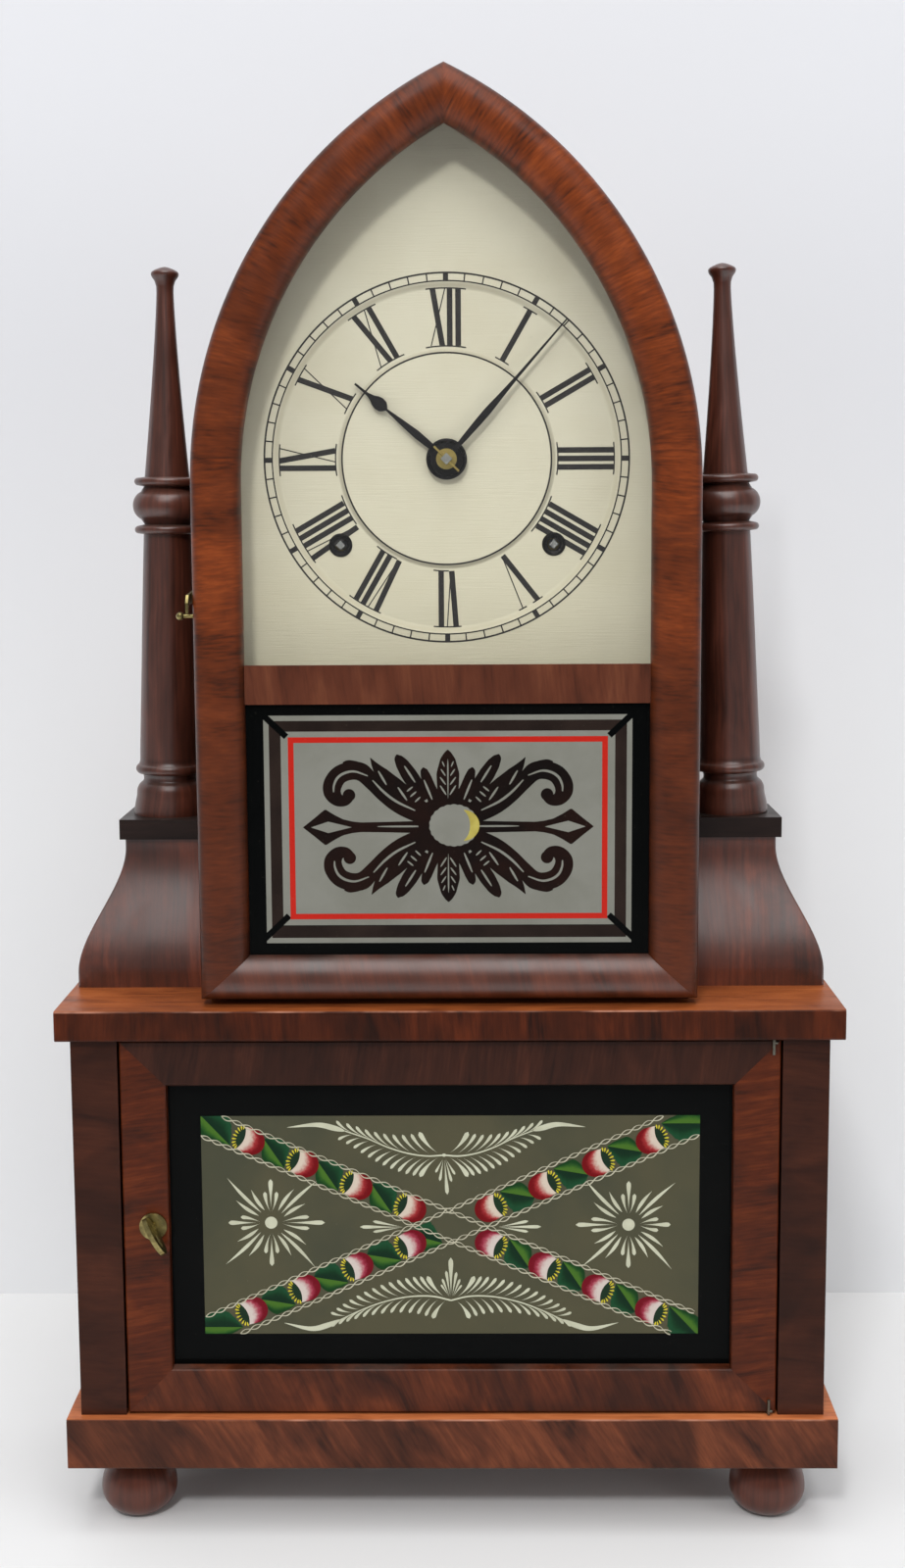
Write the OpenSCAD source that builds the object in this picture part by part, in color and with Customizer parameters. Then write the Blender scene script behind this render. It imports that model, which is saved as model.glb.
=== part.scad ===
// Double steeple shelf clock: a lancet upper case with two candlestick columns
// on a wide lower box, with a glazed door to each and a spring driven movement.
// Depths are measured back from the front face of the base board, heights up
// from the shelf, and the clock is centred on x = 0.

/* [Base and feet] */
// Width of the base board
base_w = 354; // [340:1:380]
// Depth of the base board
base_d = 130; // [122:1:150]
// Thickness of the base board
base_t = 24; // [16:0.5:32]
// Rounding of the long edges of the boards
board_round = 1.2; // [0.6:0.1:2.5]
// Height of a turned foot
foot_h = 33.5; // [24:0.5:45]
// Diameter of a turned foot at its widest
foot_dia = 35.5; // [28:0.5:42]
// Distance of a foot's centre from the board's end
foot_inset_x = 28; // [24:1:40]
// Distance of a foot's centre from the board's long edge
foot_inset_y = 29; // [24:1:40]
// Diameter of the dowel that fixes a foot or a column
dowel_dia = 10; // [6:0.5:12]

/* [Lower box] */
// Overhang of the boards beyond the lower box
box_overhang = 6; // [3:0.5:12]
// Height of the lower box between its boards
box_h = 178; // [150:1:220]
// Setback of the lower box's front from the board's edge
box_setback = 5.3; // [3:0.1:8]
// Width of a fixed front stile
stile_w = 21; // [16:0.5:26]
// Thickness of the fixed stiles and of the lower door
lower_frame_t = 14; // [11:0.5:17]
// Thickness of the lower box's side boards
side_t = 10; // [7:0.5:14]
// Thickness of the backboards
back_t = 6; // [4:0.5:9]
// Setback of the backboards from the base board's back edge
back_setback = 4; // [2:0.5:8]
// Thickness of the board between the two cases
mid_t = 14; // [10:0.5:20]

/* [Lower door] */
// Width of the lower door's frame
lower_rail_w = 20.6; // [16:0.2:26]
// Running gap between the lower door and its surround
lower_door_gap = 1; // [0.6:0.1:1.6]
// Depth of the glass rebate across the frame
rebate_w = 4; // [3:0.25:6]
// Thickness of wood in front of the lower glass
lower_lip = 6.5; // [4:0.5:8]
// Thickness of the glass
glass_t = 2; // [1.5:0.1:3]
// Radius of the lower door's pivot pins
pivot_r = 1; // [0.8:0.05:1.3]
// Height of the lower catch above the door's bottom edge
catch_rise = 89.5; // [60:0.5:130]
// Distance of the lower catch from the door's free edge
catch_inset = 13.6; // [10:0.2:16]
// Diameter of the round plate behind the catch
catch_dia = 12.5; // [8:0.5:14]
// Length of the catch's oval thumb piece
thumb_len = 19; // [14:0.5:24]
// How far the catch's tongue reaches from its spindle
tongue_len = 19.5; // [17:0.5:22]

/* [Upper case] */
// Width of the upper door
door_w = 224; // [214:1:228]
// Height of the lancet's spring line above the middle board
spring_rise = 232.7; // [210:1:260]
// Height of the lancet above its spring line
lancet_rise = 178; // [165:1:200]
// How far the door overhangs the case all round
door_overhang = 3; // [2.5:0.1:5]
// Thickness of the curved case side
arch_t = 9; // [6:0.5:12]
// Width of the columns' shelf at each side
shelf_reach = 47.8; // [42:0.1:54]
// Thickness of the columns' shelf
shelf_t = 9.5; // [6:0.5:14]
// Depth of the columns' shelf
shelf_d = 46; // [40:0.5:50]
// Depth of the shelf's front edge behind the base board's front
shelf_y = 65.5; // [56:0.5:68]
// Height of a scroll bracket
scroll_h = 67.5; // [55:0.5:90]
// How far a scroll bracket flares out at its side and front
scroll_flare = 20.3; // [12:0.1:21]
// Distance of the scroll's top behind the shelf's edges
scroll_setback = 2.3; // [2:0.1:6]

/* [Columns] */
// Height of a column
column_h = 258.6; // [220:0.2:290]
// Diameter of a column's bell shaped base
bell_dia = 35; // [28:0.2:38]
// Diameter of the shaft at its foot
shaft_foot_dia = 29; // [24:0.2:32]
// Diameter of the shaft under the rings
shaft_top_dia = 23.2; // [18:0.2:26]
// Diameter of the two rings
ring_dia = 31; // [27:0.2:34]
// Diameter of the bulb between the rings
bulb_dia = 32.6; // [28:0.2:34]
// Diameter of the steeple's cone at its foot
cone_dia = 21.2; // [16:0.2:24]
// Diameter of the steeple's cone at its neck
cone_top_dia = 8; // [6:0.2:10]
// Diameter of the cap on the steeple
cap_dia = 12.9; // [10.5:0.1:15]
// Lean of the left column towards the case
lean_left = 0.7; // [0:0.1:2]
// Lean of the right column towards the case
lean_right = 1.6; // [0:0.1:2]

/* [Upper door] */
// Width of the door's rounded frame
upper_rail_w = 22; // [17:0.5:24]
// Width of the rounded bottom rail
bottom_rail_w = 19.6; // [16:0.2:24]
// How far the door's bottom edge stands above the board
upper_door_gap = 3; // [1.5:0.1:5]
// Thickness of the upper door
upper_door_t = 16.8; // [15.5:0.1:18]
// Height of the middle rail's lower edge above the door's bottom
mid_rail_rise = 133.3; // [110:0.5:150]
// Width of the flat middle rail
mid_rail_w = 17.4; // [14:0.2:24]
// Thickness of the door's outer edge below its rounding
door_edge_t = 10; // [8:0.25:12]
// Thickness of the frame's inner edge before the glass
inner_edge_t = 0.8; // [0.5:0.1:2]
// Thickness of the middle rail before the glass
mid_rail_front_t = 2.2; // [1:0.1:4]
// Thickness of the door behind the glass
upper_back_lip = 5; // [4:0.25:6]
// Height of a hinge
hinge_h = 25; // [20:1:36]
// Radius of a hinge's knuckle
knuckle_r = 1.35; // [1.2:0.05:1.4]
// Height of the latch pin above the door's bottom
latch_rise = 172.7; // [160:0.5:200]

/* [Dial and hands] */
// Height of the dial's centre above the spring line
dial_rise = 11.5; // [0:0.5:20]
// Depth of the dial's face behind the base board's front
dial_y = 36.5; // [34:0.5:39]
// Thickness of the dial plate
dial_t = 0.8; // [0.6:0.1:1.2]
// Radius of a winding hole
winding_hole_r = 5.3; // [4.5:0.1:7]
// Radius of the hour hand's round boss
hub_r = 9.1; // [7:0.1:10.5]
// Length of the hour hand
hour_len = 52.5; // [44:0.5:56]
// Length of the minute hand
minute_len = 81; // [74:0.5:84]
// Thickness of a hand
hand_t = 0.8; // [0.6:0.1:1.2]
// Time shown: minutes past the hour
shown_minutes = 6.9; // [0:0.1:60]
// Time shown: turn of the hour hand from twelve
shown_hour_angle = 309.4; // [0:0.1:360]
// Turn of the brass pin through the hands' arbor
pin_angle = 135; // [0:1:180]

/* [Movement] */
// Depth of the front plate's face behind the base board's front
front_plate_y = 50; // [49.5:0.25:51]
// Thickness of a movement plate
plate_t = 1.6; // [1.2:0.1:2]
// Distance between the movement plates
plate_gap = 34.4; // [34:0.1:36]
// Distance of a winding arbor from the centre line
winding_x = 48; // [46.5:0.25:49]
// Distance of a winding arbor below the dial's centre
winding_drop = 38; // [37:0.25:39]
// Side of the winding arbor's square
square_side = 2.4; // [2:0.1:3]
// Radius of a winding arbor
winding_r = 2; // [1.8:0.1:2.5]
// Radius of the thin train arbors
arbor_r = 1; // [0.8:0.05:1.1]
// Radius of an arbor's pivot
train_pivot_r = 0.6; // [0.4:0.05:0.7]
// Running clearance of a pivot in its hole
run = 0.05; // [0.03:0.01:0.08]
// Outer radius of the mainsprings
spring_r = 21; // [16:0.5:24]
// Height of the pendulum's pivot above the dial's centre
suspension_rise = 53; // [52:0.25:55]
// Length of the pendulum from its pivot to the bob's centre
pendulum_len = 227; // [200:1:232]
// Diameter of the pendulum bob
bob_dia = 30; // [24:0.5:36]
// Depth of the pendulum's rod behind the base board's front
pendulum_y = 100; // [98:0.5:102]
// Height of the gong's centre above the middle board
gong_rise = 92; // [80:1:100]
// Outer radius of the coiled gong
gong_r = 30; // [24:0.5:32]
// Distance of the hammer's pivot above the gong's centre
hammer_len = 90; // [82:1:94]
// Distance of the crutch below the pendulum's pivot
crutch_len = 36; // [30:1:60]

/* [Hidden] */
$fn = 48;

// The box round the whole clock is centred on the frame's origin
thumb_reach = 10.5;
catch_plate_t = 1.2;
thumb_lean = 28;
front_reach = thumb_reach + catch_plate_t - box_setback;
frame_y = (front_reach - base_d) / 2;

// Levels
base_top = foot_h + base_t;
mid_bottom = base_top + box_h;
mid_top = mid_bottom + mid_t;
back_y = base_d - back_setback - back_t;
seat = 0.3;
dowel_fit = 0.1;
foot_dowel_len = 12;
column_dowel_len = 7;
column_shift = 2.6;

// Lower box and door
box_x = base_w / 2 - box_overhang;
opening_x = box_x - stile_w;
frame_back_y = box_setback + lower_frame_t;
door_side_x = opening_x - lower_door_gap;
lower_door_z0 = base_top + lower_door_gap + 0.2;
lower_door_z1 = mid_bottom - lower_door_gap - 0.2;
lower_pivot_x = door_side_x - 3.3;
lower_pivot_y = box_setback + 1.9;
pivot_depth = 9;
tail_len = 7;
lower_glass_y = box_setback + lower_lip;
catch_x = -door_side_x + catch_inset;
catch_z = lower_door_z0 + catch_rise;
catch_spindle_r = 1.8;

// Lancet: every outline shares the centres of the door's outer arcs
door_x = door_w / 2;
spring_z = mid_top + spring_rise;
lancet_r = (lancet_rise * lancet_rise + door_x * door_x) / (2 * door_x);
lancet_c = lancet_r - door_x;
case_x = door_x - door_overhang;
case_inner_x = case_x - arch_t;
glass_x = door_x - upper_rail_w + rebate_w;
door_front_y = box_setback - 0.1;
door_back_y = door_front_y + upper_door_t;
case_front_y = door_back_y + seat;
upper_door_z0 = mid_top + upper_door_gap;
upper_glass_y = door_back_y - upper_back_lip - glass_t;
door_edge_y = door_back_y - door_edge_t;
inner_edge_y = upper_glass_y - inner_edge_t;
mid_rail_y = upper_glass_y - mid_rail_front_t;
mid_rail_z0 = upper_door_z0 + mid_rail_rise;
mid_rail_z1 = mid_rail_z0 + mid_rail_w;

// Shelves, scrolls and columns
shelf_x = case_x + shelf_reach;
scroll_x = shelf_x - scroll_setback;
scroll_y = shelf_y + scroll_setback;
scroll_back_y = shelf_y + shelf_d - 1;
scroll_z1 = mid_top + scroll_h;
shelf_z1 = scroll_z1 + shelf_t;
column_x = (case_x + shelf_x) / 2 + column_shift;
column_y = shelf_y + shelf_d / 2;

// Upper door hinges and latch
hinge_x = case_x + 1.6;
hinge_y = door_back_y + 0.15;
hinge_pin_r = 0.6;
hinge_zs = [upper_door_z0 + 40, spring_z - 42];
leaf_t = 0.8;
leaf_d = 12;
latch_z = upper_door_z0 + latch_rise;
latch_y = door_back_y - 8;
latch_r = 0.9;
latch_ball_r = 1.8;
hook_x = -door_x - 1.7;
hook_t = 1.2;
hook_pivot_y = latch_y + 27;
hook_pivot_z = latch_z + 8;
hook_rivet_r = 1.2;

// Dial and hands
dial_z = spring_z + dial_rise;
dial_half = case_inner_x - 1;
dial_bottom = mid_rail_z0 + 1.5;
dial_hole_r = 4.6;
minute_angle = shown_minutes * 6;
pipe_r = 2.6;
hour_pipe_r = 3.8;
hand_arbor_r = 1.2;
square_end = 3.7;
hub_t = 2.6;
hub_y = dial_y - hub_t - 0.9;
hour_blade_y = hub_y + 0.5;
minute_blade_y = hub_y - 1.9;
washer_t = 1.2;
washer_y = minute_blade_y - washer_t;
pipe_front_y = washer_y - 3.4;
taper_pin_r = 0.5;
taper_pin_len = 15.6;
pin_y = washer_y - taper_pin_r - 0.1;
hour_wheel_y = dial_y + dial_t + 2.7;
cannon_y = front_plate_y - 3.6;
stud_r = 1;

// Movement: arbors are placed by the centre distances of their gears
back_plate_y = front_plate_y + plate_t + plate_gap;
great_n = 72;
second_pinion_n = 12;
great_m = 0.857;
second_n = 60;
centre_pinion_n = 12;
second_m = 0.75;
centre_n = 84;
fine_pinion_n = 8;
centre_m = 0.5;
third_n = 68;
third_m = 0.45;
escape_n = 42;
escape_r = 14;
fly_m = 0.75;
motion_m = 0.6;
cannon_n = 12;
minute_n = 36;
minute_pinion_n = 10;
hour_n = 40;
motion_dist = motion_m * (cannon_n + minute_n) / 2;
hour_m = 2 * motion_dist / (minute_pinion_n + hour_n);
great_pos = [winding_x, -winding_drop];
second_pos = meet(great_pos, great_m * (great_n + second_pinion_n) / 2,
    [0, 0], second_m * (second_n + centre_pinion_n) / 2);
escape_pos = [0, suspension_rise - 20.4];
third_pos = meet([0, 0], centre_m * (centre_n + fine_pinion_n) / 2,
    escape_pos, third_m * (third_n + fine_pinion_n) / 2);
fly_pos = [-38.9, second_pos[1] + sqrt(pow(fly_m * (second_n + fine_pinion_n) / 2, 2)
    - pow(38.9 - second_pos[0], 2))];
great_y = back_plate_y - plate_gap * 0.174;
centre_wheel_y = back_plate_y - plate_gap * 0.349;
third_wheel_y = back_plate_y - plate_gap * 0.581;
escape_wheel_y = back_plate_y - plate_gap * 0.756;
strike_wheel_y = front_plate_y + plate_gap * 0.2326;
second_wheel_y = front_plate_y + plate_gap * 0.1163;
wheel_t = 1.5;
pinion_half = 2.2;
batten_w = 12;
batten_t = 9;
fly_w = 22;
pin_ring_r = 19;
spring_w = 16;
spring_y = great_y - 3.2 - spring_w;
pillar_r = 2.6;
plate_x = 94;
plate_top_x = 68;
plate_rise = 66;
plate_drop = 80;
pillar_at = [[8 - plate_top_x, plate_rise - 10], [plate_top_x - 8, plate_rise - 10],
    [8 - plate_x, 10 - plate_drop], [plate_x - 8, 10 - plate_drop]];
pillar_tenon_r = 1.6;
suspension_z = dial_z + suspension_rise;
rod_r = 0.8;
bob_t = 7;
gong_x = -32;
gong_z = mid_top + gong_rise;
gong_wire_r = 1.2;
gong_clear = 8;
gong_y = back_y - gong_clear;
gong_block_w = 14;
gong_block_h = 8;
hammer_x = -72;
hammer_z = gong_z + hammer_len;
hammer_r = 4;
hammer_arbor_r = 1.4;

wood = "#5a2a18";
dark_wood = "#33190f";
orange_wood = "#8a4420";
pale_wood = "#a9845a";
brass = "#a8934a";
steel = "#8d9095";
black_steel = "#1c1c20";
cream = "#d9d2b4";
tablet_paint = "#777a78";
lower_paint = "#3a3b33";
clear = "#cfd8d6";

// One of the two points at distance ra from a and rb from b: the upper or right one
function meet(a, ra, b, rb) =
    let (d = norm(b - a), u = (b - a) / d,
        s = (ra * ra - rb * rb + d * d) / (2 * d),
        h = sqrt(ra * ra - s * s))
    a + s * u + h * [u[1], -u[0]];

// Direction of b seen from a
function bearing(a, b) = atan2(b[1] - a[1], b[0] - a[0]);

// Points of an arc in equal steps
function arc(centre, r, a0, a1, steps) =
    [for (i = [0:steps]) let (a = a0 + (a1 - a0) * i / steps)
        [centre[0] + r * cos(a), centre[1] + r * sin(a)]];

// Right half of a lancet outline of half width hw, from height z0 to its apex
function half_lancet(hw, z0) =
    concat([[0, z0], [hw, z0]],
        arc([-lancet_c, spring_z], hw + lancet_c, 0, acos(lancet_c / (hw + lancet_c)), 36));

// Whole lancet outline of half width hw, standing on height z0
function whole_lancet(hw, z0) =
    let (side = arc([-lancet_c, spring_z], hw + lancet_c, 0,
        acos(lancet_c / (hw + lancet_c)), 36))
    concat([[-hw, z0], [hw, z0]], side,
        [for (i = [len(side) - 2:-1:0]) [-side[i][0], side[i][1]]]);

// Outline of a hand from its right edge: half widths, and shares of its length
function both_edges(edge, reach) =
    concat([for (p = edge) [p[0], p[1] * reach]],
        [for (i = [len(edge) - 1:-1:0]) [-edge[i][0], edge[i][1] * reach]]);

// Section across the rounded door frame: across from the outer edge, then depth
function frame_section(w) =
    concat([[0, door_back_y]],
        [for (i = [0:16]) let (a = 180 - 180 * i / 16, t = (1 + cos(a)) / 2)
            [w * t, door_edge_y + (inner_edge_y - door_edge_y) * t
                - (door_edge_y + (inner_edge_y - door_edge_y) / 2 - door_front_y) * sin(a)]],
        [[w, upper_glass_y], [w - rebate_w, upper_glass_y], [w - rebate_w, door_back_y]]);

// Section across the flat lower door frame, with its front edges eased
function flat_section(w) =
    let (e = 0.6)
    [[0, frame_back_y], [0, box_setback + e], [e, box_setback], [w - e, box_setback],
        [w, box_setback + e], [w, lower_glass_y], [w - rebate_w, lower_glass_y],
        [w - rebate_w, frame_back_y]];

// Section across a board: depth, then height, with four rounded edges
function board_section(y0, y1, z0, z1) =
    let (r = board_round)
    concat(arc([y0 + r, z0 + r], r, 180, 270, 4), arc([y1 - r, z0 + r], r, 270, 360, 4),
        arc([y1 - r, z1 - r], r, 0, 90, 4), arc([y0 + r, z1 - r], r, 90, 180, 4));

// S shaped share of the scroll's flare at share t of its height from the top
function scroll_share(t) =
    let (s = min(1, max(0, (t - 0.06) / 0.84)))
    s * s * (3 - 2 * s);

module in_frame() {
    translate([0, frame_y, 0]) children();
}

// Children modelled at the right, moved to the left when side is -1
module at_side(side) {
    if (side < 0) mirror([1, 0, 0]) children();
    else children();
}

// Outline of width and height, extruded from depth y0 to depth y1
module slab(y0, y1) {
    translate([0, y1, 0]) rotate([90, 0, 0]) linear_extrude(y1 - y0) children();
}

// Section of across and depth, extruded upward
module post(z0, z1) {
    translate([0, 0, z0]) linear_extrude(z1 - z0) children();
}

// Section of depth and height, extruded along x
module beam(x0, x1) {
    translate([x0, 0, 0]) rotate([90, 0, 90]) linear_extrude(x1 - x0) children();
}

// Round bar along the depth
module bar(x, z, r, y0, y1) {
    translate([x, y1, z]) rotate([90, 0, 0]) cylinder(r = r, h = y1 - y0);
}

module block(x0, x1, y0, y1, z0, z1) {
    translate([x0, y0, z0]) cube([x1 - x0, y1 - y0, z1 - z0]);
}

module board(w, y0, y1, z0, z1) {
    beam(-w / 2, w / 2) polygon(board_section(y0, y1, z0, z1));
}

module base_board() {
    color(wood) difference() {
        board(base_w, 0, base_d, foot_h, base_top);
        for (p = foot_places()) translate([p[0], p[1], foot_h - 1])
            cylinder(d = dowel_dia + 2 * dowel_fit, h = foot_dowel_len + 1.5);
        translate([lower_pivot_x, lower_pivot_y, base_top - pivot_depth])
            cylinder(r = pivot_r + run, h = pivot_depth + 1);
    }
}

function foot_places() =
    [for (x = [-1, 1], y = [foot_inset_y, base_d - foot_inset_y])
        [x * (base_w / 2 - foot_inset_x), y]];

// Turned foot: a flattened ball, a neck and a collar, with its dowel
module turned_foot() {
    r = foot_dia / 2;
    wide_z = foot_h * 0.38;
    neck_z = foot_h * 0.82;
    rotate_extrude() polygon(concat([[0, 0], [r * 0.42, 0]],
        [for (a = [-65:13:0]) [r * cos(a), wide_z * (1 + sin(a) / sin(65))]],
        [for (a = [12:13:51]) [r * cos(a), wide_z + (neck_z - wide_z) * sin(a) / sin(51)]],
        [[r * 0.66, foot_h - 4.5], [r * 0.72, foot_h - 3.5], [r * 0.72, foot_h],
            [dowel_dia / 2, foot_h], [dowel_dia / 2, foot_h + foot_dowel_len],
            [0, foot_h + foot_dowel_len]]));
}

module ball_feet() {
    color(wood) for (p = foot_places()) translate([p[0], p[1], 0]) turned_foot();
}

module case_stile(side) {
    color(wood) at_side(side)
        block(opening_x, box_x, box_setback, frame_back_y, base_top, mid_bottom);
}

module box_side(side) {
    color(wood) at_side(side)
        block(box_x - side_t, box_x, frame_back_y, back_y + back_t, base_top, mid_bottom);
}

module box_back() {
    color(pale_wood)
        block(side_t - box_x, box_x - side_t, back_y, back_y + back_t, base_top, mid_bottom);
}

module middle_board() {
    color(orange_wood) difference() {
        board(base_w, 0, base_d, mid_bottom, mid_top);
        translate([lower_pivot_x, lower_pivot_y, mid_bottom - 1])
            cylinder(r = pivot_r + run, h = pivot_depth + 1);
    }
}

// Trapezium of one frame member, mitred at both ends, in width and height
module lower_mitre(which) {
    w = lower_rail_w;
    x = door_side_x;
    z0 = lower_door_z0;
    z1 = lower_door_z1;
    if (which == "top") polygon([[-x, z1], [x, z1], [x - w, z1 - w], [w - x, z1 - w]]);
    if (which == "bottom") polygon([[-x, z0], [x, z0], [x - w, z0 + w], [w - x, z0 + w]]);
    if (which == "right") polygon([[x, z0], [x, z1], [x - w, z1 - w], [x - w, z0 + w]]);
}

module lower_door_rail(which) {
    section = flat_section(lower_rail_w);
    color(wood) difference() {
        intersection() {
            if (which == "top") beam(-door_side_x, door_side_x)
                polygon([for (p = section) [p[1], lower_door_z1 - p[0]]]);
            else beam(-door_side_x, door_side_x)
                polygon([for (p = section) [p[1], lower_door_z0 + p[0]]]);
            slab(0, frame_back_y + 1) lower_mitre(which);
        }
        lower_pivot_holes();
    }
}

module lower_door_stile(side) {
    color(wood) difference() {
        at_side(side) intersection() {
            post(lower_door_z0, lower_door_z1)
                polygon([for (p = flat_section(lower_rail_w)) [door_side_x - p[0], p[1]]]);
            slab(0, frame_back_y + 1) lower_mitre("right");
        }
        lower_pivot_holes();
        bar(catch_x, catch_z, catch_spindle_r + run, 0, frame_back_y + 1);
    }
}

// Holes for the two pivot pins, which stand in the door and turn in the boards
module lower_pivot_holes() {
    for (z = [lower_door_z0 - 1, lower_door_z1 - pivot_depth])
        translate([lower_pivot_x, lower_pivot_y, z]) cylinder(r = pivot_r, h = pivot_depth + 1);
}

// Pivot pins of the lower door, each of bent wire with its tail in front
module lower_door_pins() {
    reach = lower_door_gap + 0.2 + pivot_depth - 1;
    gap_half = (lower_door_gap + 0.2) / 2;
    tail_y = box_setback - 1;
    tail_r = 0.7;
    color(steel) for (end = [-1, 1]) translate([lower_pivot_x, 0,
        end > 0 ? lower_door_z1 : lower_door_z0]) mirror([0, 0, end < 0 ? 1 : 0]) {
            translate([0, lower_pivot_y, -pivot_depth]) cylinder(r = pivot_r,
                h = reach + pivot_depth);
            bar(0, gap_half, 0.5, tail_y, lower_pivot_y);
            translate([0, tail_y, gap_half - tail_len]) cylinder(r = tail_r, h = tail_len);
            translate([0, tail_y, gap_half - 2 * tail_r]) rotate([0, 90, 0])
                cylinder(r = tail_r, h = 1.6);
        }
}

module lower_tablet() {
    inset = lower_rail_w - rebate_w;
    color(lower_paint)
        block(inset - door_side_x, door_side_x - inset, lower_glass_y, lower_glass_y + glass_t,
            lower_door_z0 + inset, lower_door_z1 - inset);
}

module catch_plate() {
    color(brass) difference() {
        bar(catch_x, catch_z, catch_dia / 2, box_setback - catch_plate_t, box_setback);
        bar(catch_x, catch_z, catch_spindle_r + run, 0, frame_back_y);
    }
}

// Spindle through the door, slotted oval thumb piece in front and tongue behind
module catch_turn() {
    plate_y = box_setback - catch_plate_t;
    tongue_y = frame_back_y + seat;
    color(brass) {
        bar(catch_x, catch_z, catch_spindle_r, plate_y - 3, tongue_y + 2.4);
        translate([catch_x, plate_y, catch_z]) rotate([0, -thumb_lean, 0]) difference() {
            beam(-1.1, 1.1) polygon([for (a = [0:15:345])
                [-seat - (thumb_reach - seat) * (1 - cos(a)) / 2,
                    thumb_len * (sin(a) / 2 - 0.16)]]);
            beam(-2, 2) polygon([for (a = [0:30:330])
                [-thumb_reach * 0.58 + 1.5 * cos(a), thumb_len * -0.3 + 3.4 * sin(a)]]);
        }
        bar(catch_x, catch_z, 3.2, tongue_y, tongue_y + 1.6);
        block(catch_x - 2.5, catch_x + 2.5, tongue_y, tongue_y + 1.6,
            catch_z - tongue_len, catch_z);
    }
}

// Ogee bracket: the same curve runs down its side and its front, mitred at the corner
module scroll(side) {
    steps = 20;
    curve = [for (i = [0:steps])
        [scroll_flare * scroll_share(i / steps), scroll_z1 - scroll_h * i / steps]];
    color(wood) at_side(side) intersection() {
        slab(0, scroll_back_y) polygon(concat([[case_x, mid_top], [case_x, scroll_z1]],
            [for (p = curve) [scroll_x + p[0], p[1]]]));
        beam(case_x, base_w / 2)
            polygon(concat([[scroll_back_y, mid_top], [scroll_back_y, scroll_z1]],
                [for (p = curve) [scroll_y - p[0], p[1]]]));
    }
}

module column_shelf(side) {
    color(dark_wood) at_side(side) difference() {
        block(case_x, shelf_x, shelf_y, shelf_y + shelf_d, scroll_z1, shelf_z1);
        translate([column_x, column_y, shelf_z1 - column_dowel_len])
            cylinder(d = dowel_dia + 2 * dowel_fit, h = column_dowel_len + 1);
    }
}

// Turned column: bell, scotia, torus, shaft, ring, bulb, ring, steeple cone and cap
module column(side) {
    h = column_h;
    lean = side < 0 ? lean_left : lean_right;
    bell = bell_dia / 2;
    ring = ring_dia / 2;
    bulb = bulb_dia / 2;
    shaft_z = 26;
    ring_z = h * 0.527;
    upper_z = ring_z + 22.6;
    outline = concat(
        [[0, -1], [bell, -1], [bell, 2.4], [bell - 0.5, 5.4], [bell - 1.3, 9],
            [bell - 1.5, 12.2], [bell - 2.8, 14.6], [bell - 4.3, 16.2], [bell - 4.7, 17.8],
            [bell - 4.3, 19.4]],
        arc([bell - 3.4, 22], 2.4, -50, 60, 5),
        [[shaft_foot_dia / 2, shaft_z], [shaft_foot_dia / 2 - 0.2, shaft_z + 6],
            [shaft_top_dia / 2, ring_z - 8], [shaft_top_dia / 2 - 0.3, ring_z - 1.8]],
        arc([ring - 1.8, ring_z], 1.8, -80, 80, 6),
        [[shaft_top_dia / 2 - 0.8, ring_z + 2.4]],
        [for (a = [-64:16:64]) [bulb - 6 + 6 * cos(a), ring_z + 11.4 + 6.9 * sin(a)]],
        [[shaft_top_dia / 2 - 0.6, upper_z - 2.2]],
        arc([ring - 1.8, upper_z], 1.8, -80, 80, 6),
        [for (t = [0:0.1:1]) let (s = 1 - t)
            [cone_top_dia / 2 + (cone_dia - cone_top_dia) / 2 * pow(s, 1.25),
                upper_z + 2.2 + (h - upper_z - 14) * t]],
        [[cone_top_dia / 2 + 0.1, h - 9], [cone_top_dia / 2 + 0.9, h - 6.5],
            [cap_dia / 2 - 0.5, h - 5], [cap_dia / 2, h - 3.8], [cap_dia / 2 - 0.2, h - 2.6],
            [cap_dia / 2 - 1.6, h - 1.6], [2.2, h - 0.5], [0, h]]);
    color(dark_wood) at_side(side) translate([column_x, column_y, shelf_z1]) {
        difference() {
            rotate([0, -lean, 0]) rotate_extrude() polygon(outline);
            block(-bell_dia, bell_dia, -bell_dia, bell_dia, -bell, 0);
        }
        translate([0, 0, 1 - column_dowel_len]) cylinder(d = dowel_dia, h = column_dowel_len);
    }
}

module arch_side(side) {
    color(wood) at_side(side) difference() {
        slab(case_front_y, back_y) polygon(half_lancet(case_x, mid_top));
        slab(case_front_y - 1, back_y + 1) polygon(half_lancet(case_inner_x, mid_top - 1));
        if (side < 0) translate([case_x - 6, hook_pivot_y, hook_pivot_z])
            rotate([0, 90, 0]) cylinder(r = hook_rivet_r + run, h = 8);
    }
}

// Backboard with the four blocks that carry the movement
module upper_back() {
    color(pale_wood) {
        slab(back_y, back_y + back_t) polygon(whole_lancet(case_x, mid_top));
        for (p = pillar_at) block(p[0] - 7, p[0] + 7, back_plate_y + plate_t, back_y,
            dial_z + p[1] - 7, dial_z + p[1] + 7);
    }
}

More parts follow.
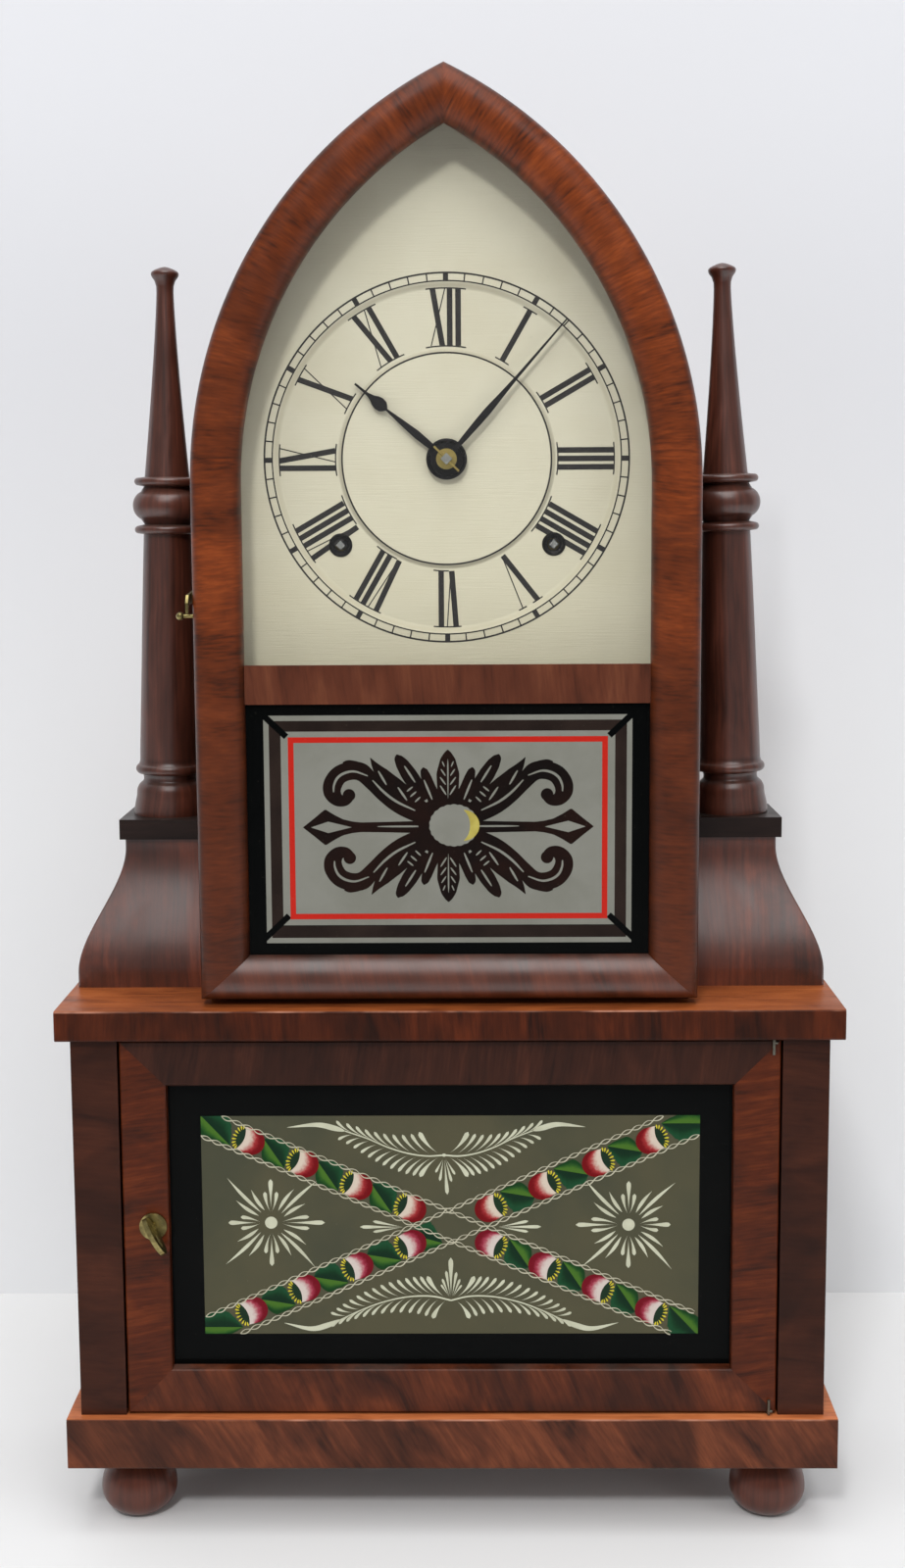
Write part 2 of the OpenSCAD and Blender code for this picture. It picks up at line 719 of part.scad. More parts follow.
// Upright and arch of the upper door in one curved member, mitred at both ends
module door_member(side) {
    w = upper_rail_w;
    section = frame_section(w);
    sweep = acos(lancet_c / lancet_r);
    color(wood) difference() {
        at_side(side) intersection() {
            union() {
                post(upper_door_z0, spring_z) polygon([for (p = section) [door_x - p[0], p[1]]]);
                translate([-lancet_c, 0, spring_z]) rotate([90, 0, 0])
                    rotate_extrude(angle = sweep, $fn = 120)
                        polygon([for (p = section) [lancet_r - p[0], -p[1]]]);
            }
            slab(0, door_back_y + 1) polygon([[0, mid_rail_z1], [0, spring_z + lancet_rise + 1],
                [door_x + 1, spring_z + lancet_rise + 1], [door_x + 1, upper_door_z0],
                [door_x, upper_door_z0], [door_x - w, upper_door_z0 + bottom_rail_w],
                [door_x - w - 1, mid_rail_z1]]);
        }
        if (side > 0) hinge_recesses();
        if (side < 0) translate([-door_x - 1, latch_y, latch_z]) rotate([0, 90, 0])
            cylinder(r = latch_r, h = 7);
    }
}

module door_bottom_rail() {
    w = upper_rail_w;
    color(wood) intersection() {
        beam(-door_x, door_x)
            polygon([for (p = frame_section(bottom_rail_w)) [p[1], upper_door_z0 + p[0]]]);
        slab(0, door_back_y + 1) polygon([[-door_x, upper_door_z0], [door_x, upper_door_z0],
            [door_x - w, upper_door_z0 + bottom_rail_w],
            [w - door_x, upper_door_z0 + bottom_rail_w]]);
    }
}

module door_middle_rail() {
    inner = door_x - upper_rail_w;
    color(wood) {
        block(-inner, inner, mid_rail_y, upper_glass_y, mid_rail_z0, mid_rail_z1);
        block(-glass_x, glass_x, upper_glass_y, door_back_y,
            mid_rail_z0 + rebate_w, mid_rail_z1 - rebate_w);
    }
}

module dial_glass() {
    color(clear) slab(upper_glass_y, upper_glass_y + glass_t)
        polygon(whole_lancet(glass_x, mid_rail_z1 - rebate_w));
}

module middle_tablet() {
    color(tablet_paint) block(-glass_x, glass_x, upper_glass_y, upper_glass_y + glass_t,
        upper_door_z0 + bottom_rail_w - rebate_w, mid_rail_z0 + rebate_w);
}

// Space in the door's edge for the knuckles and the let-in leaves
module hinge_recesses() {
    for (z = hinge_zs) {
        translate([hinge_x, hinge_y, z - hinge_h / 2 - seat])
            cylinder(r = knuckle_r + 0.25, h = hinge_h + 2 * seat);
        block(door_x - leaf_t, door_x + 1, door_edge_y, door_back_y + 1,
            z - hinge_h / 2, z + hinge_h / 2);
    }
}

module knuckle(z0, z1) {
    translate([hinge_x, hinge_y, z0]) cylinder(r = knuckle_r, h = z1 - z0);
}

// Leaves on the case with their middle knuckles and the pins
module case_hinge_leaves() {
    third = hinge_h / 6;
    color(brass) for (z = hinge_zs) {
        difference() {
            union() {
                knuckle(z - third + 0.1, z + third - 0.1);
                block(case_x, hinge_x - 0.4, hinge_y + 0.9, case_front_y + leaf_d,
                    z - third + 0.1, z + third - 0.1);
                block(case_x, case_x + leaf_t, case_front_y + 1.6, case_front_y + leaf_d,
                    z - hinge_h / 2, z + hinge_h / 2);
            }
            translate([hinge_x, hinge_y, z - hinge_h]) cylinder(r = hinge_pin_r + run,
                h = 2 * hinge_h);
        }
        translate([hinge_x, hinge_y, z - hinge_h / 2]) cylinder(r = hinge_pin_r, h = hinge_h);
    }
}

// Leaves let into the door's edge, with two knuckles each
module door_hinge_leaves() {
    third = hinge_h / 6;
    color(brass) for (z = hinge_zs) difference() {
        union() {
            knuckle(z - hinge_h / 2, z - third - 0.1);
            knuckle(z + third + 0.1, z + hinge_h / 2);
            difference() {
                block(door_x - leaf_t, door_x, door_edge_y, hinge_y - 0.7,
                    z - hinge_h / 2, z + hinge_h / 2);
                block(door_x - leaf_t - 1, door_x + 1, hinge_y - knuckle_r - 0.9, hinge_y,
                    z - third - 0.1, z + third + 0.1);
            }
        }
        translate([hinge_x, hinge_y, z - hinge_h]) cylinder(r = hinge_pin_r + run,
            h = 2 * hinge_h);
    }
}

module latch_pin() {
    neck = asin(latch_r / latch_ball_r);
    color(brass) translate([-door_x - 6, latch_y, latch_z]) rotate([0, 90, 0])
        rotate_extrude() polygon(concat([[0, -latch_ball_r]],
            [for (a = [-75:15:45]) [latch_ball_r * cos(a), latch_ball_r * sin(a)]],
            [[latch_r, latch_ball_r * cos(neck)], [latch_r, 11], [0, 11]]));
}

// Flat hook riveted to the case's left side, resting just clear of the pin
module latch_hook() {
    tip_y = latch_y - 5.2;
    barb_z = latch_z + latch_r + 0.4;
    color(brass) {
        beam(hook_x - hook_t, hook_x) polygon([[hook_pivot_y + 3, hook_pivot_z + 2.6],
            [hook_pivot_y - 2, hook_pivot_z + 3.2], [tip_y + 3, hook_pivot_z + 1.4],
            [tip_y, hook_pivot_z - 2], [tip_y, barb_z], [tip_y + 2.2, barb_z],
            [tip_y + 2.4, hook_pivot_z - 4], [tip_y + 6, hook_pivot_z - 2.8],
            [hook_pivot_y - 3, hook_pivot_z - 3], [hook_pivot_y + 3, hook_pivot_z - 2.6]]);
        translate([0, hook_pivot_y, hook_pivot_z]) rotate([0, 90, 0]) {
            translate([0, 0, hook_x - hook_t - 0.8]) cylinder(r = hook_rivet_r,
                h = 5.8 - case_x - hook_x + hook_t);
            translate([0, 0, hook_x - hook_t - 0.8]) cylinder(r = 2.3, h = 0.9);
            translate([0, 0, hook_x - 0.1]) cylinder(r = 2.3, h = 0.1 - case_x - seat - hook_x);
        }
    }
}

module dial_plate() {
    color(cream) difference() {
        slab(dial_y, dial_y + dial_t) polygon(whole_lancet(dial_half, dial_bottom));
        bar(0, dial_z, dial_hole_r, dial_y - 1, dial_y + dial_t + 1);
        for (side = [-1, 1]) bar(side * winding_x, dial_z - winding_drop, winding_hole_r,
            dial_y - 1, dial_y + dial_t + 1);
    }
}

// Strips glued inside the case, which the dial plate is pinned to
module dial_battens() {
    color(pale_wood) for (side = [-1, 1]) at_side(side)
        block(case_inner_x - batten_w, case_inner_x, dial_y + dial_t, dial_y + batten_t,
            dial_bottom, spring_z - 2);
}

// Wheel of n teeth cut to a blunt point, one of them at angle phase
module toothed_disc(n, m, phase) {
    r = n * m / 2;
    pitch = 360 / n;
    polygon([for (i = [0:n - 1], k = [0:3])
        let (a = phase + i * pitch + [-0.23, -0.1, 0.1, 0.23][k] * pitch,
            q = r + [-1.2, 0.85, 0.85, -1.2][k] * m)
        [q * cos(a), q * sin(a)]]);
}

// Wheel at a place in the movement, crossed out by four round holes
module train_wheel(at, n, m, phase, y, bore) {
    r = n * m / 2;
    slab(y, y + wheel_t) translate([at[0], dial_z + at[1]]) difference() {
        toothed_disc(n, m, phase);
        for (a = [45:90:315]) rotate(a) translate([r * 0.52, 0]) circle(r = r * 0.24);
        circle(r = bore);
    }
}

// Lantern pinion of n round leaves, with a gap at angle phase
module pinion(at, n, m, phase, y, half, core) {
    r = n * m / 2;
    leaf_r = 0.21 * PI * m;
    for (s = [-1, 1]) bar(at[0], dial_z + at[1], r + leaf_r + 0.3,
        y + s * half - 0.3, y + s * half + 0.3);
    for (i = [0:n - 1]) let (a = phase + (i + 0.5) * 360 / n)
        bar(at[0] + r * cos(a), dial_z + at[1] + r * sin(a), leaf_r, y - half, y + half);
    bar(at[0], dial_z + at[1], core, y - half, y + half);
}

// Thin arbor between the plates, with a pivot in each
module train_arbor(at) {
    y0 = front_plate_y + plate_t;
    bar(at[0], dial_z + at[1], arbor_r, y0 + seat, back_plate_y - seat);
    bar(at[0], dial_z + at[1], train_pivot_r, front_plate_y, back_plate_y + plate_t);
}

module plate_outline() {
    polygon([[-plate_x, -plate_drop], [plate_x, -plate_drop], [plate_x, -plate_drop * 0.7],
        [plate_top_x, plate_rise], [-plate_top_x, plate_rise], [-plate_x, -plate_drop * 0.7]]);
}

// Pivot holes that both plates share
module plate_holes(y) {
    for (p = [second_pos, third_pos, escape_pos, [-second_pos[0], second_pos[1]], fly_pos])
        bar(p[0], dial_z + p[1], train_pivot_r + run, y - 1, y + plate_t + 1);
    for (side = [-1, 1]) bar(side * winding_x, dial_z - winding_drop, winding_r + run,
        y - 1, y + plate_t + 1);
    bar(0, dial_z + suspension_rise, arbor_r + run, y - 1, y + plate_t + 1);
    bar(0, dial_z, hand_arbor_r + run, y - 1, y + plate_t + 1);
    slab(y - 1, y + plate_t + 1) translate([0, dial_z]) {
        translate([-22, -72]) square([44, 34]);
        for (side = [-1, 1]) translate([side * 56 - 8, 4]) square([16, 34]);
    }
}

module front_plate() {
    color(brass) {
        difference() {
            slab(front_plate_y, front_plate_y + plate_t) translate([0, dial_z]) plate_outline();
            plate_holes(front_plate_y);
            for (p = pillar_at) bar(p[0], dial_z + p[1], pillar_tenon_r + run,
                front_plate_y - 1, front_plate_y + plate_t + 1);
        }
        bar(0, dial_z - motion_dist, stud_r, dial_y + dial_t + 1, front_plate_y + 0.5);
    }
}

// Back plate with its four riveted pillars, the pendulum's post and the hammer's
module back_plate() {
    y1 = back_plate_y + plate_t;
    color(brass) {
        difference() {
            slab(back_plate_y, y1) translate([0, dial_z]) plate_outline();
            plate_holes(back_plate_y);
        }
        for (p = pillar_at) {
            bar(p[0], dial_z + p[1], pillar_r, front_plate_y + plate_t, back_plate_y + 0.5);
            bar(p[0], dial_z + p[1], pillar_tenon_r, front_plate_y - 1.5, back_plate_y);
        }
        difference() {
            block(-4, 4, y1 - 0.5, pendulum_y + 4, suspension_z + 2.5, suspension_z + 11);
            block(-2.8, 2.8, pendulum_y - 0.25, pendulum_y + 0.25, suspension_z, suspension_z + 7);
        }
        difference() {
            block(hammer_x - 4, hammer_x + 4, y1 - 0.5, y1 + 8, hammer_z - 4, hammer_z + 4);
            bar(hammer_x, hammer_z, hammer_arbor_r + run, y1 + 1, y1 + 9);
        }
    }
}

// Hour hand: raised boss, slim stem, bulb and needle, with its pipe and wheel
module hour_hand() {
    color(black_steel) difference() {
        union() {
            bar(0, dial_z, hub_r, hub_y + 0.8, hub_y + hub_t);
            difference() {
                bar(0, dial_z, hub_r, hub_y, hub_y + 1);
                bar(0, dial_z, hub_r - 1.6, hub_y - 1, hub_y + 2);
            }
            bar(0, dial_z, hour_pipe_r, hub_y + 1, hour_wheel_y + wheel_t + 0.5);
            slab(hour_blade_y, hour_blade_y + hand_t) translate([0, dial_z])
                rotate(-shown_hour_angle) polygon(both_edges([[1.3, 0.12], [1.6, 0.22],
                    [1.8, 0.33], [1.2, 0.5], [0.5, 0.655], [1.6, 0.672], [2.6, 0.695],
                    [2.95, 0.735], [2.5, 0.775], [1.5, 0.81], [0.8, 0.855], [0.6, 0.9],
                    [0.5, 1]], hour_len));
            train_wheel([0, 0], hour_n, hour_m, -90, hour_wheel_y, pipe_r);
        }
        bar(0, dial_z, pipe_r + run, hub_y - 1, hour_wheel_y + 4);
    }
}

// Minute hand: slim lozenge on its pipe, with the squared end and cannon pinion
module minute_hand() {
    half = square_end / 2;
    color(black_steel) difference() {
        union() {
            slab(minute_blade_y, minute_blade_y + hand_t) translate([0, dial_z])
                rotate(-minute_angle) polygon(both_edges([[0.9, 0], [1.0, 0.09], [1.3, 0.16],
                    [1.6, 0.27], [1.65, 0.35], [1.15, 0.46], [0.7, 0.59], [0.5, 0.8],
                    [0.35, 1]], minute_len));
            bar(0, dial_z, 4.4, minute_blade_y, minute_blade_y + hand_t);
            bar(0, dial_z, pipe_r, minute_blade_y, front_plate_y - 0.4);
            pinion([0, 0], cannon_n, motion_m, -90, cannon_y, pinion_half, pipe_r - 0.1);
            slab(pipe_front_y, minute_blade_y + 0.2) translate([0, dial_z]) rotate(45)
                square(square_end, center = true);
        }
        bar(0, dial_z, hand_arbor_r + run, washer_y, front_plate_y);
        translate([0, pin_y, dial_z]) rotate([0, pin_angle, 0]) translate([0, 0, -9])
            cylinder(r = taper_pin_r, h = 18);
    }
}

// Washer on the squared end and the taper pin that holds it
module hand_pin() {
    color(brass) {
        difference() {
            bar(0, dial_z, 4.6, washer_y, washer_y + washer_t - 0.05);
            slab(washer_y - 1, washer_y + 2) translate([0, dial_z]) rotate(45)
                square(square_end + 2 * run, center = true);
        }
        translate([0, pin_y, dial_z]) rotate([0, pin_angle, 0]) translate([0, 0, -taper_pin_len / 2])
            cylinder(r = taper_pin_r, h = taper_pin_len);
    }
}

module minute_wheel() {
    at = [0, -motion_dist];
    color(brass) difference() {
        union() {
            train_wheel(at, minute_n, motion_m, 90, cannon_y - wheel_t / 2, 1.5);
            pinion(at, minute_pinion_n, hour_m, 90, hour_wheel_y + wheel_t / 2,
                pinion_half - 0.4, 1.8);
            bar(0, dial_z - motion_dist, 1.8, hour_wheel_y, cannon_y + 2);
        }
        bar(0, dial_z - motion_dist, stud_r + run, dial_y, front_plate_y + 1);
    }
}

// Winding arbor with its square, spring hub and ratchet
module winding_arbor(side) {
    x = side * winding_x;
    z = dial_z - winding_drop;
    color(steel) {
        bar(x, z, winding_r, front_plate_y - 1, back_plate_y + plate_t);
        slab(dial_y + 0.2, front_plate_y - 0.8) translate([x, z]) rotate(45)
            square(square_side, center = true);
        bar(x, z, 4, spring_y - 1, spring_y + spring_w + 1);
        slab(great_y - 1.8, great_y - 0.4) translate([x, z])
            polygon([for (i = [0:15], k = [0, 1]) let (a = i * 22.5 + k * 1.5, q = 9.5 - 1.6 * k)
                [q * cos(a), q * sin(a)]]);
    }
}

// Mainspring: a flat strip wound in widening turns round the arbor's hub
module mainspring(side) {
    turns = 5;
    steps = 20;
    inner = 4.5;
    strip = 0.5;
    grow = (spring_r - inner - strip) / (turns * steps);
    color(steel) at_side(side) slab(spring_y, spring_y + spring_w)
        translate([winding_x, dial_z - winding_drop]) polygon(concat(
            [for (i = [0:turns * steps]) let (q = inner + grow * i, a = -40 + i * 360 / steps)
                [q * cos(a), q * sin(a)]],
            [for (i = [turns * steps:-1:0])
                let (q = inner + strip + grow * i, a = -40 + i * 360 / steps)
                [q * cos(a), q * sin(a)]]));
}

// Great wheel, running free on the winding arbor, with its click
module great_wheel(side) {
    at = [side * winding_x, -winding_drop];
    mate = [side * second_pos[0], second_pos[1]];
    color(brass) {
        train_wheel(at, great_n, great_m, bearing(at, mate), great_y, winding_r + run);
        slab(great_y - 1.8, great_y + 0.2) translate([at[0], dial_z + at[1]])
            polygon([[10.3, -1], [13.5, -4], [16, -4], [16, 6], [13, 6]]);
    }
}

module going_second_wheel() {
    color(brass) {
        train_wheel(second_pos, second_n, second_m, bearing(second_pos, [0, 0]),
            second_wheel_y, arbor_r - 0.1);
        pinion(second_pos, second_pinion_n, great_m, bearing(second_pos, great_pos),
            great_y + wheel_t / 2, pinion_half, arbor_r);
        train_arbor(second_pos);
    }
}

// Centre wheel, whose arbor runs out to the hands
module centre_wheel() {
    color(brass) {
        train_wheel([0, 0], centre_n, centre_m, bearing([0, 0], third_pos),
            centre_wheel_y, arbor_r);
        pinion([0, 0], centre_pinion_n, second_m, bearing([0, 0], second_pos),
            second_wheel_y + wheel_t / 2, pinion_half, hand_arbor_r);
        bar(0, dial_z, hand_arbor_r, washer_y + 1, back_plate_y + plate_t);
    }
}

module third_wheel() {
    color(brass) {
        train_wheel(third_pos, third_n, third_m, bearing(third_pos, escape_pos),
            third_wheel_y, arbor_r - 0.1);
        pinion(third_pos, fine_pinion_n, centre_m, bearing(third_pos, [0, 0]),
            centre_wheel_y + wheel_t / 2, pinion_half, arbor_r);
        train_arbor(third_pos);
    }
}

// Escape wheel with hooked, pointed teeth
module escape_wheel() {
    pitch = 360 / escape_n;
    color(brass) {
        slab(escape_wheel_y, escape_wheel_y + 1) translate([escape_pos[0], dial_z + escape_pos[1]])
            difference() {
                polygon([for (i = [0:escape_n - 1], k = [0:2])
                    let (a = (i + [0, 0.5, 0.92][k]) * pitch, q = escape_r - [0, 1.9, 1.9][k])
                    [q * cos(a), q * sin(a)]]);
                for (a = [0:90:270]) rotate(a) translate([7, 0]) circle(r = 2.9);
                circle(r = arbor_r - 0.1);
            }
        pinion(escape_pos, fine_pinion_n, third_m, bearing(escape_pos, third_pos),
            third_wheel_y + wheel_t / 2, pinion_half, arbor_r);
        train_arbor(escape_pos);
    }
}

// Verge strip over the escape wheel, its arbor, and the crutch round the pendulum rod
module verge() {
    reach = escape_r + 0.9;
    drop = suspension_rise - escape_pos[1];
    loop_z = suspension_z - crutch_len;
    color(steel) {
        slab(escape_wheel_y - 1, escape_wheel_y + 2) translate([0, suspension_z])
            polygon([[-1.6, 0.4], [1.6, 0.4], [reach * 0.62, -drop + reach * 0.92],
                [reach * 0.78, -drop + reach * 0.72], [reach * 0.78 + 0.9, -drop + reach * 0.76],
                [reach * 0.62 + 1.4, -drop + reach * 1.02], [2.4, 2.6], [-2.4, 2.6],
                [-reach * 0.62 - 1.4, -drop + reach * 1.02],
                [-reach * 0.78 - 0.9, -drop + reach * 0.76],
                [-reach * 0.78, -drop + reach * 0.72], [-reach * 0.62, -drop + reach * 0.92]]);
        bar(0, suspension_z, arbor_r, front_plate_y, pendulum_y - 5);
        translate([0, pendulum_y - 5.6, loop_z]) cylinder(r = 0.7, h = suspension_z - loop_z);
        difference() {
            block(-2.8, 2.8, pendulum_y - 6.4, pendulum_y + 2.6, loop_z - 0.6, loop_z + 0.6);
            block(-rod_r - 0.4, rod_r + 0.4, pendulum_y - 1.6, pendulum_y + 1.4,
                loop_z - 2, loop_z + 2);
        }
    }
}

// Pendulum rod with the suspension strip at its top and the rating screw below
module pendulum_rod() {
    bob_z = suspension_z - pendulum_len;
    color(steel) {
        block(-2, 2, pendulum_y - 0.2, pendulum_y + 0.2, suspension_z - 14,
            suspension_z + 6);
        translate([0, pendulum_y, bob_z - bob_dia / 2 - 6])
            cylinder(r = rod_r, h = pendulum_len + bob_dia / 2 + 6 - 12);
    }
}

// Brass bob, domed on both faces, bored for the rod, on its rating nut
module pendulum_bob() {
    bob_z = suspension_z - pendulum_len;
    edge = 1;
    dome = bob_t / 2 - edge;
    color(brass) translate([0, pendulum_y, bob_z]) {
        difference() {
            rotate([90, 0, 0]) rotate_extrude() polygon(concat([[0, -edge - dome]],
                [for (a = [10:10:80]) [bob_dia / 2 * sin(a), -edge - dome * cos(a)]],
                [[bob_dia / 2, -edge], [bob_dia / 2, edge]],
                [for (a = [80:-10:10]) [bob_dia / 2 * sin(a), edge + dome * cos(a)]],
                [[0, edge + dome]]));
            translate([0, 0, -bob_dia]) cylinder(r = rod_r + run, h = 2 * bob_dia);
        }
        translate([0, 0, -bob_dia / 2 - 3]) difference() {
            cylinder(r = 3, h = 2.8);
            translate([0, 0, -1]) cylinder(r = rod_r + run, h = 5);
        }
    }
}

// Strike second wheel with the pins that lift the hammer
module strike_second_wheel() {
    at = [-second_pos[0], second_pos[1]];
    color(brass) {
        train_wheel(at, second_n, second_m, bearing(at, fly_pos), strike_wheel_y, arbor_r - 0.1);
        pinion(at, second_pinion_n, great_m, bearing(at, [-winding_x, -winding_drop]),
            great_y + wheel_t / 2, pinion_half, arbor_r);
        for (a = [0:45:315])
            bar(at[0] + pin_ring_r * cos(a), dial_z + at[1] + pin_ring_r * sin(a), 0.6,
                strike_wheel_y - 3.5, strike_wheel_y + 1);
        train_arbor(at);
    }
}

// Fan that steadies the striking
module strike_fly() {
    color(brass) {
        slab(centre_wheel_y - 10, centre_wheel_y + 6) translate([fly_pos[0], dial_z + fly_pos[1]])
            square([fly_w, 0.8], center = true);
        pinion(fly_pos, fine_pinion_n, fly_m, bearing(fly_pos, [-second_pos[0], second_pos[1]]),
            strike_wheel_y + wheel_t / 2, pinion_half, arbor_r);
        train_arbor(fly_pos);
    }
}

// Coiled wire gong on its iron block
module gong() {
    turns = 3;
    steps = 24;
    sides = 8;
    spread = 5.4;
    rings = turns * steps;
    centre = function (i) let (q = gong_r - spread * i / steps, a = 90 + i * 360 / steps)
        [gong_x + q * cos(a), gong_y, gong_z + q * sin(a)];
    points = [for (i = [0:rings], k = [0:sides - 1])
        let (a = 90 + i * 360 / steps, t = k * 360 / sides, c = centre(i))
        [c[0] + gong_wire_r * cos(t) * cos(a), c[1] + gong_wire_r * sin(t),
            c[2] + gong_wire_r * cos(t) * sin(a)]];
    color(black_steel) {
        polyhedron(points, concat([[for (k = [0:sides - 1]) k]],
            [for (i = [0:rings - 1], k = [0:sides - 1]) let (n = (k + 1) % sides)
                [i * sides + k, (i + 1) * sides + k, (i + 1) * sides + n, i * sides + n]],
            [[for (k = [sides - 1:-1:0]) rings * sides + k]]), convexity = 8);
        block(gong_x - 5, gong_x - 5 + gong_block_w, gong_y - 3, back_y,
            gong_z + gong_r - spread * turns + 3 - gong_block_h,
            gong_z + gong_r - spread * turns + 3);
    }
}

// Hammer: arbor on its post, lifting tail, wire and head beside the gong
module hammer() {
    head_x = gong_x - gong_r + 1.35 - gong_wire_r - 1;
    color(steel) {
        bar(hammer_x, hammer_z, hammer_arbor_r, back_plate_y + plate_t + 1 + seat, gong_y + 2);
        translate([hammer_x, gong_y, gong_z]) cylinder(r = 0.9, h = hammer_z - gong_z);
        translate([hammer_x - 5, gong_y, gong_z]) rotate([0, 90, 0])
            cylinder(r = hammer_r, h = head_x - hammer_x + 5);
    }
}

in_frame() base_board();
in_frame() ball_feet();
in_frame() case_stile(-1);  // case_stile_left
in_frame() case_stile(1);  // case_stile_right
in_frame() box_side(-1);  // box_side_left
in_frame() box_side(1);  // box_side_right
in_frame() box_back();
in_frame() middle_board();
in_frame() lower_door_rail("top");  // lower_door_top_rail
in_frame() lower_door_rail("bottom");  // lower_door_bottom_rail
in_frame() lower_door_stile(-1);  // lower_door_left_stile
in_frame() lower_door_stile(1);  // lower_door_right_stile
in_frame() lower_tablet();
in_frame() lower_door_pins();
in_frame() catch_plate();
in_frame() catch_turn();
in_frame() scroll(-1);  // scroll_left
in_frame() scroll(1);  // scroll_right
in_frame() column_shelf(-1);  // column_shelf_left
in_frame() column_shelf(1);  // column_shelf_right
in_frame() column(-1);  // column_left
in_frame() column(1);  // column_right
in_frame() arch_side(-1);  // arch_side_left
in_frame() arch_side(1);  // arch_side_right
in_frame() upper_back();
in_frame() door_member(-1);  // door_left_member
in_frame() door_member(1);  // door_right_member
in_frame() door_bottom_rail();
in_frame() door_middle_rail();
in_frame() dial_glass();
in_frame() middle_tablet();
in_frame() case_hinge_leaves();
in_frame() door_hinge_leaves();
in_frame() latch_pin();
in_frame() latch_hook();
in_frame() dial_plate();
in_frame() dial_battens();
in_frame() hour_hand();
in_frame() minute_hand();
in_frame() hand_pin();
in_frame() front_plate();
in_frame() back_plate();
in_frame() minute_wheel();
in_frame() winding_arbor(1);  // going_winding_arbor
in_frame() mainspring(1);  // going_mainspring
in_frame() great_wheel(1);  // going_great_wheel
in_frame() going_second_wheel();
in_frame() centre_wheel();
in_frame() third_wheel();
in_frame() escape_wheel();
in_frame() verge();
in_frame() pendulum_rod();
in_frame() pendulum_bob();
in_frame() winding_arbor(-1);  // strike_winding_arbor
in_frame() mainspring(-1);  // strike_mainspring
in_frame() great_wheel(-1);  // strike_great_wheel
in_frame() strike_second_wheel();
in_frame() strike_fly();
in_frame() gong();
in_frame() hammer();
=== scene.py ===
from math import cos, pi, radians, sin
import bmesh
import bpy
import numpy as np
from mathutils import Matrix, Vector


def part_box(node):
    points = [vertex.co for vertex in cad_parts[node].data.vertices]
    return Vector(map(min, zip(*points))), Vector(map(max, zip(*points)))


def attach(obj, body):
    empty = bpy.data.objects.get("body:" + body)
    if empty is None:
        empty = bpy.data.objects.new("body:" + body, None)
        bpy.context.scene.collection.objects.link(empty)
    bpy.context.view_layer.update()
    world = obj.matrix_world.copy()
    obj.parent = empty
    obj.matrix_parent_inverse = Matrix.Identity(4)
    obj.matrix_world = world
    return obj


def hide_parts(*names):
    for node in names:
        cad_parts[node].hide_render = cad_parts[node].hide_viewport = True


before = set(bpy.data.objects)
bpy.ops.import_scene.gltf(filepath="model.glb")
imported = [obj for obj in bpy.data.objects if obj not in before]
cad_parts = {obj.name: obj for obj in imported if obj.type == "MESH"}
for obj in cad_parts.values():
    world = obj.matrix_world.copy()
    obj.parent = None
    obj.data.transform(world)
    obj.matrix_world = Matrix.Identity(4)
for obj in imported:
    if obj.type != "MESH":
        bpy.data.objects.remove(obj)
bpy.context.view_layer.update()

# Sizes are millimetres in the clock's own frame: x from the centre line, y back from
# the front of the base board, z up from the shelf. Meshes are turned to metres once.
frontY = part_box("base_board")[0][1] * 1000


def toScene(points):  # millimetres of the clock's frame to metres of the scene
    out = np.array(points, dtype=float)
    out[..., 1] += frontY
    return out / 1000


def shares(count):  # even steps from 0 to 1
    return np.linspace(0, 1, count)


def gridFaces(rows, columns, start=0):  # quads between neighbours of a rows x columns grid
    row, column = np.meshgrid(np.arange(rows - 1), np.arange(columns - 1), indexing="ij")
    first = (row * columns + column).ravel() + start
    return np.stack([first, first + 1, first + columns + 1, first + columns], axis=1)


def tubeFaces(rows, columns):  # quads round a closed section, and a face at either end
    last = (rows - 1) * columns
    return [tuple(face) for face in gridFaces(rows, columns)] + [tuple(range(columns - 1)),
        tuple(range(last + columns - 2, last - 1, -1))]


def addPiece(name, points, faces, finish, body="case", slot="mahogany", instead=(), grain=None,
        shade=None, crease=38):
    # Mesh from a grid of points and its faces, with its doubles merged and its faces turned
    # outwards. Grain holds the two coordinates of the veneer, and shade a mask.
    size = points.shape[:-1]
    mesh = bpy.data.meshes.new(name)
    mesh.from_pydata(toScene(points.reshape(-1, 3)).tolist(), [],
        [list(map(int, face)) for face in faces])
    corners = np.empty(len(mesh.loops), dtype=np.int32)
    mesh.loops.foreach_get("vertex_index", corners)
    if grain is not None:
        values = np.stack([np.broadcast_to(part, size).ravel() for part in grain], axis=-1)
        layer = mesh.uv_layers.new(name="grain")
        layer.data.foreach_set("uv", values.astype(np.float32)[corners].ravel())
    if shade is not None:
        values = np.broadcast_to(shade, size).ravel()
        layer = mesh.attributes.new("edge", "FLOAT", "CORNER")
        layer.data.foreach_set("value", values.astype(np.float32)[corners])
    shell = bmesh.new()
    shell.from_mesh(mesh)
    bmesh.ops.remove_doubles(shell, verts=shell.verts, dist=1e-6)
    bmesh.ops.recalc_face_normals(shell, faces=shell.faces)
    shell.to_mesh(mesh)
    shell.free()
    mesh.shade_smooth()
    mesh.set_sharp_from_angle(angle=radians(crease))
    mesh.materials.append(finishes[finish])
    piece = bpy.data.objects.new(name, mesh)
    bpy.context.scene.collection.objects.link(piece)
    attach(piece, body)
    if instead:
        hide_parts(*instead)


def placeAt(item, spot, right, up, back):  # sets an object's axes and place, and links it
    pose = np.eye(4)
    pose[:3, :3] = np.stack([right, up, back], axis=1)
    pose[:3, 3] = toScene(spot)
    item.matrix_world = Matrix(pose.tolist())
    bpy.context.scene.collection.objects.link(item)


